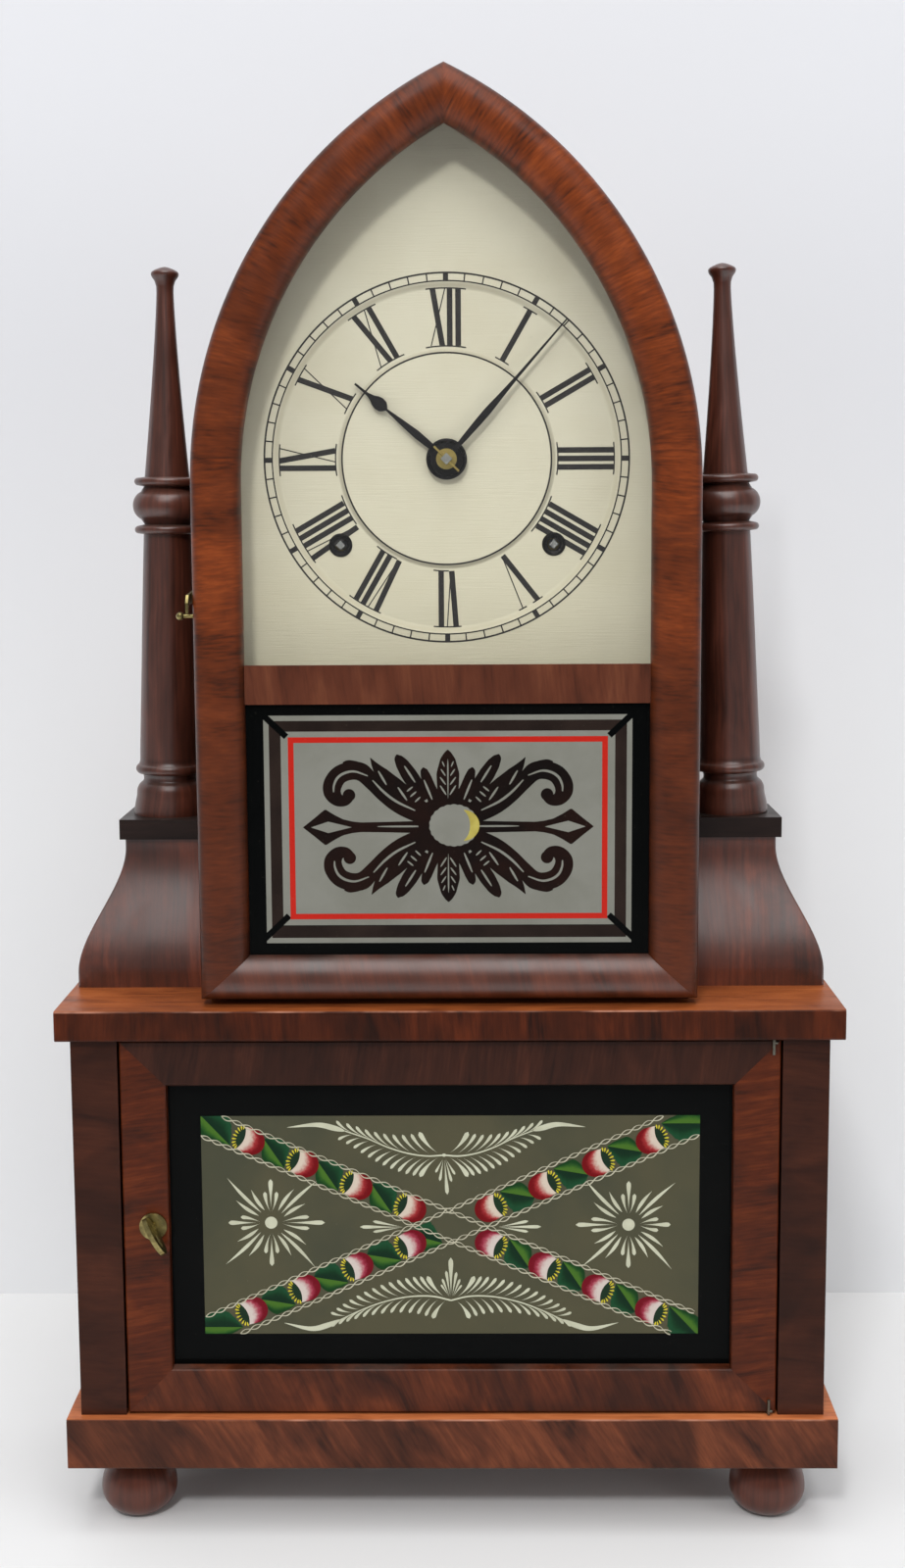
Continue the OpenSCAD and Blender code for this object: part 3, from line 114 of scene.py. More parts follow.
def throughPoints(points, steps):
    # Smooth curve through points: between two of them each coordinate follows the cubic
    # that leaves and arrives along the line joining the neighbours.
    p = np.array(points, dtype=float)
    p = np.vstack([2 * p[0] - p[1], p, 2 * p[-1] - p[-2]])
    t = np.linspace(0, 1, steps, endpoint=False)[None, :, None]
    a, b, c, d = (p[i:len(p) - 3 + i][:, None, :] for i in range(4))
    curve = b + 0.5 * t * (c - a) + t ** 2 * (a - 2.5 * b + 2 * c - 0.5 * d) \
        + t ** 3 * (1.5 * (b - c) + 0.5 * (d - a))
    return np.vstack([curve.reshape(-1, p.shape[1]), p[-2]])


def arc(x, z, wide, high, first, last, count):  # part of an ellipse between two angles
    a = np.radians(np.linspace(first, last, count))
    return np.stack([x + wide * np.cos(a), z + high * np.sin(a)], axis=1)


def lathe(profile, turns=64):
    # Surface of revolution: radius and height of the profile, turned about the z axis.
    angle = np.linspace(0, 2 * pi, turns + 1)
    radius, height = np.array(profile, dtype=float).T
    points = np.stack([radius[:, None] * np.cos(angle), radius[:, None] * np.sin(angle),
        np.repeat(height[:, None], turns + 1, axis=1)], axis=-1)
    along = np.concatenate([[0], np.cumsum(np.hypot(np.diff(radius), np.diff(height)))])
    return points, (along[:, None] / 1000, angle * radius.max() / 1000)


def stroke(store, path, widths, closed=False):
    # Flat stroke in the plane of x and z: each point of the path is moved to both sides
    # along its normal by half the width there; front and back lie at the stored depths.
    path = np.array(path, dtype=float)
    widths = np.broadcast_to(np.asarray(widths, dtype=float), (len(path),))
    if closed:
        path = np.vstack([path, path[:1]])
        widths = np.append(widths, widths[0])
        ahead = np.vstack([path[1:], path[1:2]]) - np.vstack([path[-2:-1], path[:-1]])
    else:
        ahead = np.gradient(path, axis=0)
    ahead /= np.maximum(np.hypot(*ahead.T), 1e-9)[:, None]
    side = np.stack([-ahead[:, 1], ahead[:, 0]], axis=1) * widths[:, None] / 2
    left, right = path + side, path - side
    front, back = store["front"] - 0.001 * (len(store["points"]) % 29), store["back"]
    ring = np.stack([left, right, right, left, left], axis=1)
    depth = np.broadcast_to(np.array([front, front, back, back, front]), ring.shape[:2])
    points = np.stack([ring[..., 0], depth, ring[..., 1]], axis=-1).reshape(-1, 3)
    start = sum(len(part) for part in store["points"])
    faces = [tuple(face) for face in gridFaces(len(path), 5, start)]
    if not closed:
        last = start + (len(path) - 1) * 5
        faces += [(start, start + 1, start + 2, start + 3), (last + 3, last + 2, last + 1, last)]
    store["points"].append(points)
    store["faces"] += faces


def patch(store, grid, shade):
    # Flat patch from a grid of x and z: its front at the stored depth, the rim carried
    # straight back and closed by one face; every grid point keeps its own shade.
    rows, columns = grid.shape[:2]
    index = np.arange(rows * columns).reshape(rows, columns)
    rim = np.concatenate([index[0], index[1:, -1], index[-1, -2::-1], index[-2:0:-1, 0]])
    flat = grid.reshape(-1, 2)
    start = sum(len(part) for part in store["points"])
    places = np.vstack([flat, flat[rim]])
    depth = np.r_[np.full(len(flat), store["front"]), np.full(len(rim), store["back"])]
    store["points"].append(np.stack([places[:, 0], depth, places[:, 1]], axis=1))
    store["faces"] += [tuple(face) for face in gridFaces(rows, columns, start)]
    behind = start + len(flat) + np.arange(len(rim))
    before = start + rim
    store["faces"] += [(before[i], before[i - 1], behind[i - 1], behind[i])
        for i in range(len(rim))]
    store["faces"].append(tuple(behind))
    store["shade"] += [shade.ravel(), shade.ravel()[rim]]


def newStore(front, back):
    return {"front": front, "back": back, "points": [], "faces": [], "shade": []}


def storePiece(name, store, finish, **more):
    if store["shade"]:
        more["shade"] = np.concatenate(store["shade"])
    addPiece(name, np.vstack(store["points"]), store["faces"], finish, **more)


def paintLayer(facts, number):  # store of one painted layer, counted from the glass forward
    return newStore(facts["face"] - facts["film"] * number, facts["face"])


def paintPiece(name, store, finish, body="upper_door"):
    storePiece(name, store, finish, body=body, slot="painted_glass")


def drop(start, end, widest, bow=0.0, blunt=4.0, steps=9, swell=0.5):
    # Teardrop stroke: widths grow with a power of the distance and close on a round end;
    # the path bows aside by the share given, as a parabola.
    t = shares(steps)
    start, end = np.array(start, dtype=float), np.array(end, dtype=float)
    across = np.array([start[1] - end[1], end[0] - start[0]])
    path = start + (end - start) * t[:, None] + across * (4 * bow * t * (1 - t))[:, None]
    widths = widest * np.maximum(t, 0.02) ** swell * np.sqrt(np.maximum(1 - t ** blunt, 0.003))
    return path, widths


def oval(centre, reach, width, tilt=0.0, steps=15):
    # Ellipse as a stroke: half widths follow the circle's own root of one minus t squared.
    t = np.sin(np.linspace(-0.5, 0.5, steps) * pi)
    path = np.array(centre) + reach * t[:, None] * np.array([cos(tilt), sin(tilt)])
    return path, width * np.sqrt(np.maximum(1 - t ** 2, 0.0004))


def tint(red, green, blue):  # a colour as seen on screen, as the linear numbers shaders take
    seen = np.array([red, green, blue]) / 255
    linear = np.where(seen > 0.04, ((seen + 0.055) / 1.055) ** 2.4, seen / 12.92)
    return (*(float(v) for v in linear), 1.0)


graph = {}  # holds the node tree that is being built


def feed(node, inputs):  # links each input to its socket, or sets it to its constant
    for key, value in inputs.items():
        if isinstance(value, bpy.types.NodeSocket):
            graph["tree"].links.new(value, node.inputs[key])
        else:
            node.inputs[key].default_value = value


def put(kind, inputs=None, **settings):  # a new node with its settings and its inputs
    node = graph["tree"].nodes.new("ShaderNode" + kind)
    for key, value in settings.items():
        setattr(node, key, value)
    feed(node, inputs or {})
    return node


def maths(operation, first, second=0.0, third=0.0):
    return put("Math", {0: first, 1: second, 2: third}, operation=operation).outputs[0]


def times(first, *others):
    for other in others:
        first = maths("MULTIPLY", first, other)
    return first


def plus(first, *others):
    for other in others:
        first = maths("ADD", first, other)
    return first


def noise(vector, scale, detail=2.0, rough=0.5, warp=0.0):
    return put("TexNoise", {"Vector": vector, "Scale": scale, "Detail": detail, "Roughness": rough,
        "Distortion": warp}).outputs["Fac"]


def stretch(vector, scale):
    return put("VectorMath", {0: vector, 1: scale}, operation="MULTIPLY").outputs[0]


def smooth(value, low, high, bottom=0.0, top=1.0):
    return put("MapRange", {"Value": value, "From Min": low, "From Max": high, "To Min": bottom,
        "To Max": top}, interpolation_type="SMOOTHSTEP").outputs[0]


def blend(share, first, second):  # the second colour over the first, by the share
    return put("Mix", {0: share, 6: first, 7: second}, data_type="RGBA").outputs[2]


def objectPlace():
    return put("TexCoord").outputs["Object"]


def axesOf(vector):
    return put("SeparateXYZ", {0: vector}).outputs


def facingUp():  # the upward part of the surface's normal
    return axesOf(put("NewGeometry").outputs["Normal"])[2]


def edgeAttribute():  # the piece's own mask, 1 along its edges
    return put("Attribute", attribute_name="edge").outputs["Fac"]


def newGroup(name, takes, gives):  # node group whose sockets are listed by their kind
    group = bpy.data.node_groups.new(name, "ShaderNodeTree")
    for way, kinds in (("INPUT", takes), ("OUTPUT", gives)):
        for kind, labels in kinds.items():
            for label in labels.split():
                group.interface.new_socket(label, in_out=way, socket_type="NodeSocket" + kind)
    graph["tree"] = group
    return group, group.nodes.new("NodeGroupInput").outputs, group.nodes.new("NodeGroupOutput")


def useGroup(kind, inputs):
    return put("Group", inputs, node_tree=groups[kind]).outputs


def figuredWood():
    # Cross-cut veneer, its grain along the vector's first axis: fine lines, broad flame
    # patches, short flecks along the lines, drifting dark patches and small pores,
    # each a noise stretched its own way and added up to one tone.
    group, given, out = newGroup("figured wood", {"Vector": "Vector", "Color": "Light Middle Deep",
        "Float": "Streak Flame Ripple Patch"}, {"Color": "Color", "Float": "Height Gloss"})
    wander = put("TexNoise", {"Vector": stretch(given["Vector"], (16, 22, 22)), "Scale": 1.0,
        "Detail": 2.0}).outputs["Color"]
    bent = put("VectorMath", {0: wander, 1: (0.007, 0.007, 0.007), 2: given["Vector"]},
        operation="MULTIPLY_ADD").outputs[0]
    layers = (("Streak", (16, 480, 480), 4, 0.65, 0.0, 2.0),
        ("Flame", (20, 52, 52), 3, 0.55, 0.9, 2.6), ("Ripple", (130, 800, 800), 2, 0.5, 0.0, 1.8))
    tone, spread = 0.5, {}
    for label, scale, detail, rough, warp, gain in layers:
        spread[label] = noise(stretch(bent, scale), 1.0, detail, rough, warp)
        part = times(maths("SUBTRACT", spread[label], 0.5), gain, given[label])
        tone = plus(part, tone)
    patches = noise(stretch(bent, (12, 24, 24)), 1.0, 3, 0.55, 0.5)
    pores = smooth(noise(stretch(bent, (260, 2400, 2400)), 1.0, 2, 0.6), 0.6, 0.74)
    colour = blend(smooth(tone, 0.45, 0.95), given["Middle"], given["Light"])
    for share in (smooth(tone, 0.55, 0.05), times(smooth(patches, 0.46, 0.66), given["Patch"]),
            times(pores, 0.35)):
        colour = blend(share, colour, given["Deep"])
    feed(out, {"Color": colour, "Gloss": smooth(spread["Flame"], 0.3, 0.7),
        "Height": maths("SUBTRACT", times(spread["Streak"], 0.4), pores)})
    return group


def edgeToneAndDust():
    # An edge colour over a finish: a mask between 0 and 1 shifts it to that colour, broken up
    # by noise. On the rounded door members and the bottom rail this dark edge is partly painted
    # shade, where the round turns away from the light, and partly finish darkened along the
    # edges. A fainter even haze of dust lies on faces that look up.
    group, given, out = newGroup("edge tone and dust", {"Color": "Color Worn", "Float": "Mask Dust"},
        {"Color": "Color", "Float": "Dusty"})
    place = objectPlace()
    edgeShare = times(given["Mask"], smooth(noise(place, 60.0, 3, 0.6), 0.25, 0.65), 0.7)
    dusty = times(smooth(facingUp(), 0.4, 1.0), given["Dust"],
        smooth(noise(place, 35.0, 3), 0.3, 0.7))
    colour = blend(edgeShare, given["Color"], given["Worn"])
    feed(out, {"Color": blend(dusty, colour, tint(170, 160, 150)), "Dusty": dusty})
    return group


def agedMetal():
    # Metal that dulls in cloudy patches, with fine brushed scratches along x.
    group, given, out = newGroup("aged metal", {"Color": "Bright Dull",
        "Float": "Amount Scale Smoothest Roughest"}, {"Color": "Color",
        "Float": "Roughness Height"})
    place = objectPlace()
    cloud = noise(place, given["Scale"], 4, 0.6)
    dull = times(smooth(cloud, 0.35, 0.65), given["Amount"])
    rough = times(smooth(maths("MULTIPLY_ADD", cloud, 0.8, 0.1), 0.3, 0.7),
        maths("SUBTRACT", given["Roughest"], given["Smoothest"]))
    feed(out, {"Color": blend(dull, given["Bright"], given["Dull"]),
        "Roughness": plus(rough, given["Smoothest"]), "Height": noise(stretch(place,
        (300, 2600, 2600)), 1.0, 2)})
    return group


def paintedFilm():
    # Old paint: soft mottling between two colours, and small specks of dust or loss.
    group, given, out = newGroup("painted film", {"Color": "Color Mottled",
        "Float": "Amount Scale Specks"}, {"Color": "Color", "Float": "Height"})
    place = objectPlace()
    cloud = noise(place, given["Scale"], 4, 0.6, 0.3)
    colour = blend(times(smooth(cloud, 0.35, 0.7), given["Amount"]), given["Color"],
        given["Mottled"])
    specks = times(smooth(noise(place, 700.0, 2, 0.6), 0.68, 0.78), given["Specks"])
    feed(out, {"Color": blend(specks, colour, tint(140, 135, 120)), "Height": plus(cloud, specks)})
    return group


groups = {"wood": figuredWood(), "edge": edgeToneAndDust(), "metal": agedMetal(),
    "film": paintedFilm()}


def newMaterial(name, **sockets):  # material with its Principled shader's constants set
    material = bpy.data.materials.new(name)
    material.use_nodes = True
    graph["tree"] = material.node_tree
    shader = material.node_tree.nodes["Principled BSDF"]
    feed(shader, {key.replace("_", " "): value for key, value in sockets.items()})
    return material, shader


def finishShader(shader, colour, height, strength, distance, **more):
    bump = put("Bump", {"Height": height, "Strength": strength, "Distance": distance})
    feed(shader, {"Base Color": colour, "Normal": bump.outputs[0], **more})


def clearWhere(share, shader):  # lets light straight through the shader by the share
    clear = put("BsdfTransparent").outputs[0]
    both = put("MixShader", {0: share, 1: shader.outputs[0], 2: clear}).outputs[0]
    feed(graph["tree"].nodes["Material Output"], {"Surface": both})


def grainVector(along, offset=0.0, slant=0.0):
    # Object coordinates in metres with the grain's axis first, turned by the slant in
    # degrees; "uv" takes the piece's own, whose first axis runs along its grain.
    if along == "uv":
        place = put("UVMap", uv_map="grain").outputs[0]
    else:
        x, y, z = axesOf(objectPlace())
        order = {"x": (x, z, y), "y": (y, x, z), "z": (z, x, y)}[along]
        place = put("CombineXYZ", dict(enumerate(order))).outputs[0]
    return put("Mapping", {"Vector": place, "Location": (offset, offset * 0.7, 0),
        "Rotation": (0, 0, radians(slant))}).outputs[0]


def veneerWood(vector, veneer, figure):  # the wood group in one veneer's colours and figure
    light, middle, deep = (tint(*colour) for colour in veneers[veneer])
    return useGroup("wood", {"Vector": vector, "Light": light, "Middle": middle, "Deep": deep,
        "Streak": figure[0], "Flame": figure[1], "Ripple": figure[2], "Patch": figure[3]})


def wood(name, along, veneer, figure, offset=0.0, slant=0.0, edge=None, rough=0.34, sheen=0.5,
        dust=0.08, tone=None):
    # Figured veneer under old varnish; edge gives the mask of darker edges (on the rounded
    # members partly painted shade, partly darkened finish) and tone the share of darker colour:
    # darker wood, and on the door members also painted shade towards the foot.
    material, shader = newMaterial(name, Specular_IOR_Level=sheen)
    veneered = veneerWood(grainVector(along, offset, slant), veneer, figure)
    colour = veneered["Color"]
    if tone:
        colour = blend(tone(), colour, tint(*veneers[veneer][2]))
    edged = useGroup("edge", {"Color": colour, "Dust": dust, "Mask": edge() if edge else 0.0,
        "Worn": tint(26, 15, 12)})
    gloss = maths("MULTIPLY_ADD", veneered["Gloss"], 0.1, rough - 0.05)
    finishShader(shader, edged["Color"], veneered["Height"], 0.1, 0.0002,
        Roughness=maths("MULTIPLY_ADD", edged["Dusty"], 0.9, gloss))
    return material


def memberShadeAndJoint():  # darker towards the foot, and above the left member's veneer joint
    x, y, z = axesOf(objectPlace())
    left = smooth(x, 0.001, -0.001)
    # Painted shade: the members grow darker towards their foot, where less light falls.
    low = smooth(z, 0.46, 0.34, 0.0, 0.62)
    joint = times(left, smooth(z, 0.4935, 0.4945, 0.0, 0.34))
    line = times(left, smooth(z, 0.4934, 0.494), smooth(z, 0.4946, 0.494, 0.0, 0.4))
    return maths("MINIMUM", plus(low, joint, line), 1.0)


def metal(name, bright, dull, amount, smoothest, roughest, scale=160.0):
    material, shader = newMaterial(name, Metallic=1.0)
    aged = useGroup("metal", {"Bright": tint(*bright), "Dull": tint(*dull), "Amount": amount,
        "Scale": scale, "Smoothest": smoothest, "Roughest": roughest})
    finishShader(shader, aged["Color"], aged["Height"], 0.08, 0.0001, Roughness=aged["Roughness"])
    return material


def paintFilm(colour, mottled, amount, scale, specks):
    return useGroup("film", {"Color": tint(*colour), "Mottled": tint(*mottled), "Amount": amount,
        "Scale": scale, "Specks": specks})


def film(name, colour, mottled, amount=0.3, scale=40.0, specks=0.15, rough=0.25, sheen=0.15):
    material, shader = newMaterial(name, Specular_IOR_Level=sheen, Roughness=rough)
    paint = paintFilm(colour, mottled, amount, scale, specks)
    finishShader(shader, paint["Color"], paint["Height"], 0.05, 0.0001)
    return material


def clearGlass(name):
    # Clear glass that lets the lamps' light and the bounced light straight through.
    material, shader = newMaterial(name, Base_Color=tint(250, 252, 250), Roughness=0.02,
        Transmission_Weight=1.0, IOR=1.45, Specular_IOR_Level=0.25)
    path = put("LightPath").outputs
    clearWhere(maths("MAXIMUM", path["Is Shadow Ray"], path["Is Diffuse Ray"]), shader)
    return material


# Veneer colours from light through middle to deep
veneers = {
    "member": ((134, 62, 22), (106, 46, 15), (54, 23, 10)),
    "rail": ((102, 56, 35), (84, 42, 26), (58, 28, 18)),
    "bottomRail": ((102, 46, 20), (76, 31, 12), (42, 18, 8)),
    "board": ((84, 35, 14), (62, 24, 8), (32, 13, 6)),
    "base": ((114, 62, 39), (82, 43, 28), (44, 24, 17)),
    "stile": ((78, 40, 26), (56, 28, 18), (28, 14, 10)),
    "lowerStile": ((98, 44, 18), (74, 30, 12), (46, 20, 9)),
    "lowerTop": ((68, 36, 25), (50, 26, 18), (34, 18, 13)),
    "lowerBottom": ((104, 52, 29), (78, 37, 21), (44, 21, 13)),
    "scroll": ((112, 52, 29), (88, 38, 21), (54, 25, 15)),
    "turned": ((94, 48, 34), (70, 34, 23), (38, 18, 13)),
    "shelf": ((42, 29, 25), (31, 21, 18), (20, 13, 11)),
    "foot": ((104, 52, 34), (80, 37, 23), (48, 23, 15)),
    "solid": ((168, 93, 48), (148, 78, 38), (108, 54, 28)),
    # The base board's top: a lighter copy of the solid wood, painted light on a narrow top in
    # shade.
    "baseTopLit": ((212, 128, 78), (190, 108, 62), (150, 82, 48)),
    "pine": ((176, 136, 92), (150, 112, 74), (104, 74, 48)),
}
finishes = {
    "memberWood": wood("rounded frame veneer", "uv", "member", (0.3, 0.42, 0.5, 0.4), slant=-4,
        edge=edgeAttribute, rough=0.36, sheen=0.32, tone=memberShadeAndJoint),
    "bottomRail": wood("bottom rail veneer", "uv", "bottomRail", (0.4, 0.5, 0.2, 0.4), 3.1, 12,
        edge=edgeAttribute, rough=0.4, sheen=0.95),
    "middleRail": wood("middle rail veneer", "z", "rail", (0.4, 0.55, 0.12, 0.25), 1.7, 6,
        sheen=0.3),
    "stile": wood("case stile veneer", "x", "stile", (0.2, 0.4, 0.12, 0.6), 2.3, 4, rough=0.4,
        sheen=0.14),
    "side": wood("case side veneer", "z", "stile", (0.7, 0.8, 0.1, 0.4), 5.9, rough=0.42,
        sheen=0.3),
    "arch": wood("arch side veneer", "z", "stile", (0.7, 0.8, 0.15, 0.4), 7.3, rough=0.42,
        sheen=0.3),
    "lowerStile": wood("lower door stile veneer", "x", "lowerStile", (0.6, 0.55, 0.25, 0.35), 0.4,
        -8, sheen=0.16),
    "lowerTop": wood("lower door top veneer", "z", "lowerTop", (0.45, 0.5, 0.2, 0.35), 4.1, -8,
        sheen=0.16),
    "lowerBottom": wood("lower door bottom veneer", "z", "lowerBottom", (0.4, 0.75, 0.15, 0.5),
        4.7, 24, sheen=0.16),
    "scroll": wood("bracket veneer", "uv", "scroll", (0.6, 0.5, 0.1, 0.3), 1.1, edge=edgeAttribute,
        rough=0.4, sheen=0.95),
    "turned": wood("turned wood", "uv", "turned", (0.7, 0.4, 0.0, 0.2), 6.2, edge=edgeAttribute,
        rough=0.33, sheen=0.9),
    "shelf": wood("shelf wood", "x", "shelf", (0.6, 0.4, 0.0, 0.2), 2.9, sheen=0.25),
    "foot": wood("turned foot", "uv", "foot", (0.5, 0.4, 0.0, 0.3), 8.2, edge=edgeAttribute,
        rough=0.33),
    "pine": wood("bare pine", "z", "pine", (0.9, 0.4, 0.0, 0.1), 0.9, rough=0.7, sheen=0.2,
        dust=0.2),
    "brass": metal("old brass", (172, 158, 104), (98, 88, 58), 0.75, 0.28, 0.5),
    "cleanBrass": metal("movement brass", (196, 174, 104), (140, 116, 62), 0.5, 0.25, 0.42, 60.0),
    "steel": metal("grey steel", (190, 190, 192), (110, 106, 100), 0.5, 0.25, 0.5),
    "gong": metal("blued gong", (70, 74, 84), (44, 40, 38), 0.5, 0.35, 0.55),
    "hand": metal("blackened steel", (44, 42, 44), (26, 24, 24), 0.5, 0.3, 0.45),
    "blackPaint": film("black painted glass", (6, 7, 7), (12, 12, 11), 0.4, 30.0, 0.05, rough=0.2,
        sheen=0.05),
    "blackLeaves": film("black stencilled leaves", (18, 15, 14), (36, 21, 17), 0.8, 18.0, 0.05,
        rough=0.2, sheen=0.06),
    "bobGlint": film("painted glint of the bob", (176, 164, 84), (140, 126, 50), 0.8, 90.0, 0.1,
        rough=0.3, sheen=0.3),
    "darkBand": film("dark band", (42, 33, 29), (28, 22, 20), 0.9, 24.0, 0.05, rough=0.2,
        sheen=0.07),
    "silver": film("silver leaf", (122, 122, 114), (106, 106, 96), 0.5, 34.0, 0.1, rough=0.5,
        sheen=0.2),
    "redLine": film("red line", (176, 34, 24), (160, 30, 22), 0.3, 60.0, 0.1),
    "print": film("dial print", (36, 34, 34), (52, 48, 44), 0.4, 160.0, 0.25, rough=0.5),
    "glass": clearGlass("clear glass"),
}
print("stage: materials ready,", len(finishes))

cameraFacts = {"focal": 2066.714, "yaw": -0.74, "pitch": 7.518, "roll": -0.338,
    "place": (13.631, -882.728, 468.161), "frameHeight": 1600}


def makeCamera():
    # Axes from the angles: forward leans down by the pitch and turns by the yaw, and the
    # roll turns right and up about it. The lens follows from focal length over height.
    yaw, pitch, roll = (radians(cameraFacts[k]) for k in ("yaw", "pitch", "roll"))
    ahead = np.array([sin(yaw) * cos(pitch), cos(yaw) * cos(pitch), -sin(pitch)])
    right = np.array([cos(yaw), -sin(yaw), 0])
    up = np.cross(right, ahead)
    turnedRight = right * cos(roll) + up * sin(roll)
    turnedUp = up * cos(roll) - right * sin(roll)
    lens = bpy.data.cameras.new("camera")
    lens.sensor_fit = "VERTICAL"
    lens.sensor_height = 36
    lens.lens = 36 * cameraFacts["focal"] / cameraFacts["frameHeight"]
    lens.clip_start = 0.01
    camera = bpy.data.objects.new("camera", lens)
    placeAt(camera, cameraFacts["place"], turnedRight, turnedUp, -ahead)
    bpy.context.scene.camera = camera


makeCamera()

arch = {"halfWidth": 112.0, "railWidth": 22.0, "bottomWidth": 19.6, "z0": 252.5, "springZ": 482.2,
    "radius": 197.446, "centre": 85.446, "frontY": 5.2, "backY": 22.0, "edgeY": 12.0,
    "innerY": 14.2, "glassY": 15.0, "rebate": 4.0, "hinges": (292.5, 440.2), "hingeHeight": 25.0,
    "hingeReach": 4.2, "hingeDepth": 2.5, "play": 0.3, "darkenedEdge": 0.16, "mitreGap": 0.06}


def frameSection(width, steps=28):
    # Across and depth: the front is half an ellipse from the outer to the inner edge.
    angle = np.linspace(pi, 0, steps)
    t = (1 + np.cos(angle)) / 2
    middle = (arch["edgeY"] + arch["innerY"]) / 2
    depth = arch["edgeY"] + (arch["innerY"] - arch["edgeY"]) * t \
        - (middle - arch["frontY"]) * np.sin(angle)
    back = [[width, arch["glassY"]], [width - arch["rebate"], arch["glassY"]],
        [width - arch["rebate"], arch["backY"]]]
    return np.vstack([np.stack([width * t, depth], axis=1), back])


def sectionGrain(section):  # distance round the section, and a mask for its front edges
    reach = np.concatenate([[0], np.cumsum(np.hypot(*np.diff(section, axis=0).T))])
    across = section[:, 0] / section[:, 0].max()
    # Edges of the round darken: partly painted shade, partly finish darkened along them.
    mask = np.clip(1 - np.minimum(across, 1 - across) / arch["darkenedEdge"], 0, 1)
    return reach / 1000, mask


def doorMember(side):
    # Each point of the section runs up the stile and then round its own arc, until it
    # meets the centre line; it starts on the bottom mitre. The back is let in for hinges.
    section = frameSection(arch["railWidth"])
    ends = [[0.35, arch["backY"]], [0, arch["backY"] - 0.35]]
    section = np.vstack([section, ends, section[:1]])
    t, y = section.T
    grainAcross, mask = sectionGrain(section)
    rise = arch["springZ"] - arch["z0"]
    notches = [(z + e * (arch["hingeHeight"] / 2 + arch["play"]) - arch["z0"]) / rise + d
        for z in arch["hinges"] for e in (-1, 1) for d in (0, 0.0006 * e)]
    s = np.unique(np.concatenate([shares(24), notches]))[:, None]
    zStart = arch["z0"] + t * arch["bottomWidth"] / arch["railWidth"]
    z = zStart + (arch["springZ"] - zStart) * s
    x = np.broadcast_to(arch["halfWidth"] - t, z.shape)
    depth = np.broadcast_to(y, z.shape).copy()
    across = np.broadcast_to(t, z.shape).copy()
    if side > 0:
        for hinge in arch["hinges"]:
            inside = np.abs(z[:, -2] - hinge) < arch["hingeHeight"] / 2 + arch["play"] + 0.05
            across[inside, -3] = arch["hingeReach"]
            depth[inside, -2] = arch["backY"] - arch["hingeDepth"]
        x = arch["halfWidth"] - across
    radius = arch["radius"] - t
    sweep = np.arccos(arch["centre"] / radius)
    a = shares(61)[1:, None] * sweep
    arcX = radius * np.cos(a) - arch["centre"]
    arcZ = arch["springZ"] + radius * np.sin(a)
    arcY = np.broadcast_to(y, arcX.shape)
    points = np.stack([np.vstack([x, arcX]), np.vstack([depth, arcY]), np.vstack([z, arcZ])],
        axis=-1)
    lengthways = np.vstack([z - arch["springZ"], a * arch["radius"]]) / 1000
    points[..., 0] *= side
    where = "Left" if side < 0 else "Right"
    addPiece("doorMember" + where, points, tubeFaces(*points.shape[:2]), "memberWood",
        "upper_door", instead=(f"door_{where.lower()}_member",),
        grain=(grainAcross, lengthways + 0.9 * (side < 0)), shade=mask)


def bottomRail():
    # The same section laid along x, its ends cut on the mitres of the two members.
    section = frameSection(arch["bottomWidth"])
    section = np.vstack([section, [[0, arch["backY"]]], section[:1]])
    t, y = section.T
    grainAcross, mask = sectionGrain(section)
    s = np.linspace(-1, 1, 40)[:, None]
    x = s * (arch["halfWidth"] - t * arch["railWidth"] / arch["bottomWidth"] - arch["mitreGap"])
    points = np.stack(np.broadcast_arrays(x, y, arch["z0"] + t), axis=-1)
    addPiece("doorBottomRail", points, tubeFaces(*x.shape), "bottomRail", "upper_door",
        instead=("door_bottom_rail",), grain=(grainAcross, x / 1000), shade=mask)


doorMember(-1)
doorMember(1)
bottomRail()
print("stage: upper door frame")

bracket = {"inner": 109.0, "top": 154.5, "frontTop": 67.8, "flare": 20.3, "back": 110.5,
    "z0": 249.5, "z1": 317.0, "corner": 0.8}
column = {"x": 135.5, "y": 88.5, "z": 326.5, "height": 258.6, "leanLeft": 0.7, "leanRight": 1.6}
foot = {"height": 33.5, "radius": 17.75, "insetX": 149.0, "insetY": (29.0, 101.0)}


def ogee(t):  # share of the flare at share t of the height, from the top: a smooth step
    s = np.clip((t - 0.06) / 0.84, 0, 1)
    return s * s * (3 - 2 * s)


def bracketPiece(side):
    # Level sections from the top down: each is a rectangle whose side and front stand out
    # by the same share of the flare, with its mitred corner slightly blunted.
    t = shares(70)[:, None]
    out = bracket["flare"] * ogee(t)
    z = bracket["z1"] - (bracket["z1"] - bracket["z0"]) * t
    sideX, frontDepth, c = bracket["top"] + out, bracket["frontTop"] - out, bracket["corner"]
    inner = np.full_like(out, bracket["inner"])
    back = np.full_like(out, bracket["back"])
    x = np.hstack([inner, sideX - c, sideX, sideX, inner, inner])
    y = np.hstack([frontDepth, frontDepth, frontDepth + c, back, back, frontDepth])
    slope = np.hypot(np.gradient(out, axis=0), np.gradient(z, axis=0))
    along = np.cumsum(slope, axis=0) * np.ones(6) / 1000
    around = np.cumsum(np.hypot(np.diff(x, axis=1, prepend=x[:, :1]),
        np.diff(y, axis=1, prepend=y[:, :1])), axis=1) / 1000
    points = np.stack(np.broadcast_arrays(x * side, y, z), axis=-1)
    where = "Left" if side < 0 else "Right"
    addPiece("bracket" + where, points, tubeFaces(*x.shape), "scroll",
        instead=("scroll_" + where.lower(),), shade=np.array([0, 0.9, 0.9, 0, 0, 0]),
        grain=(along + side * 0.3, around))


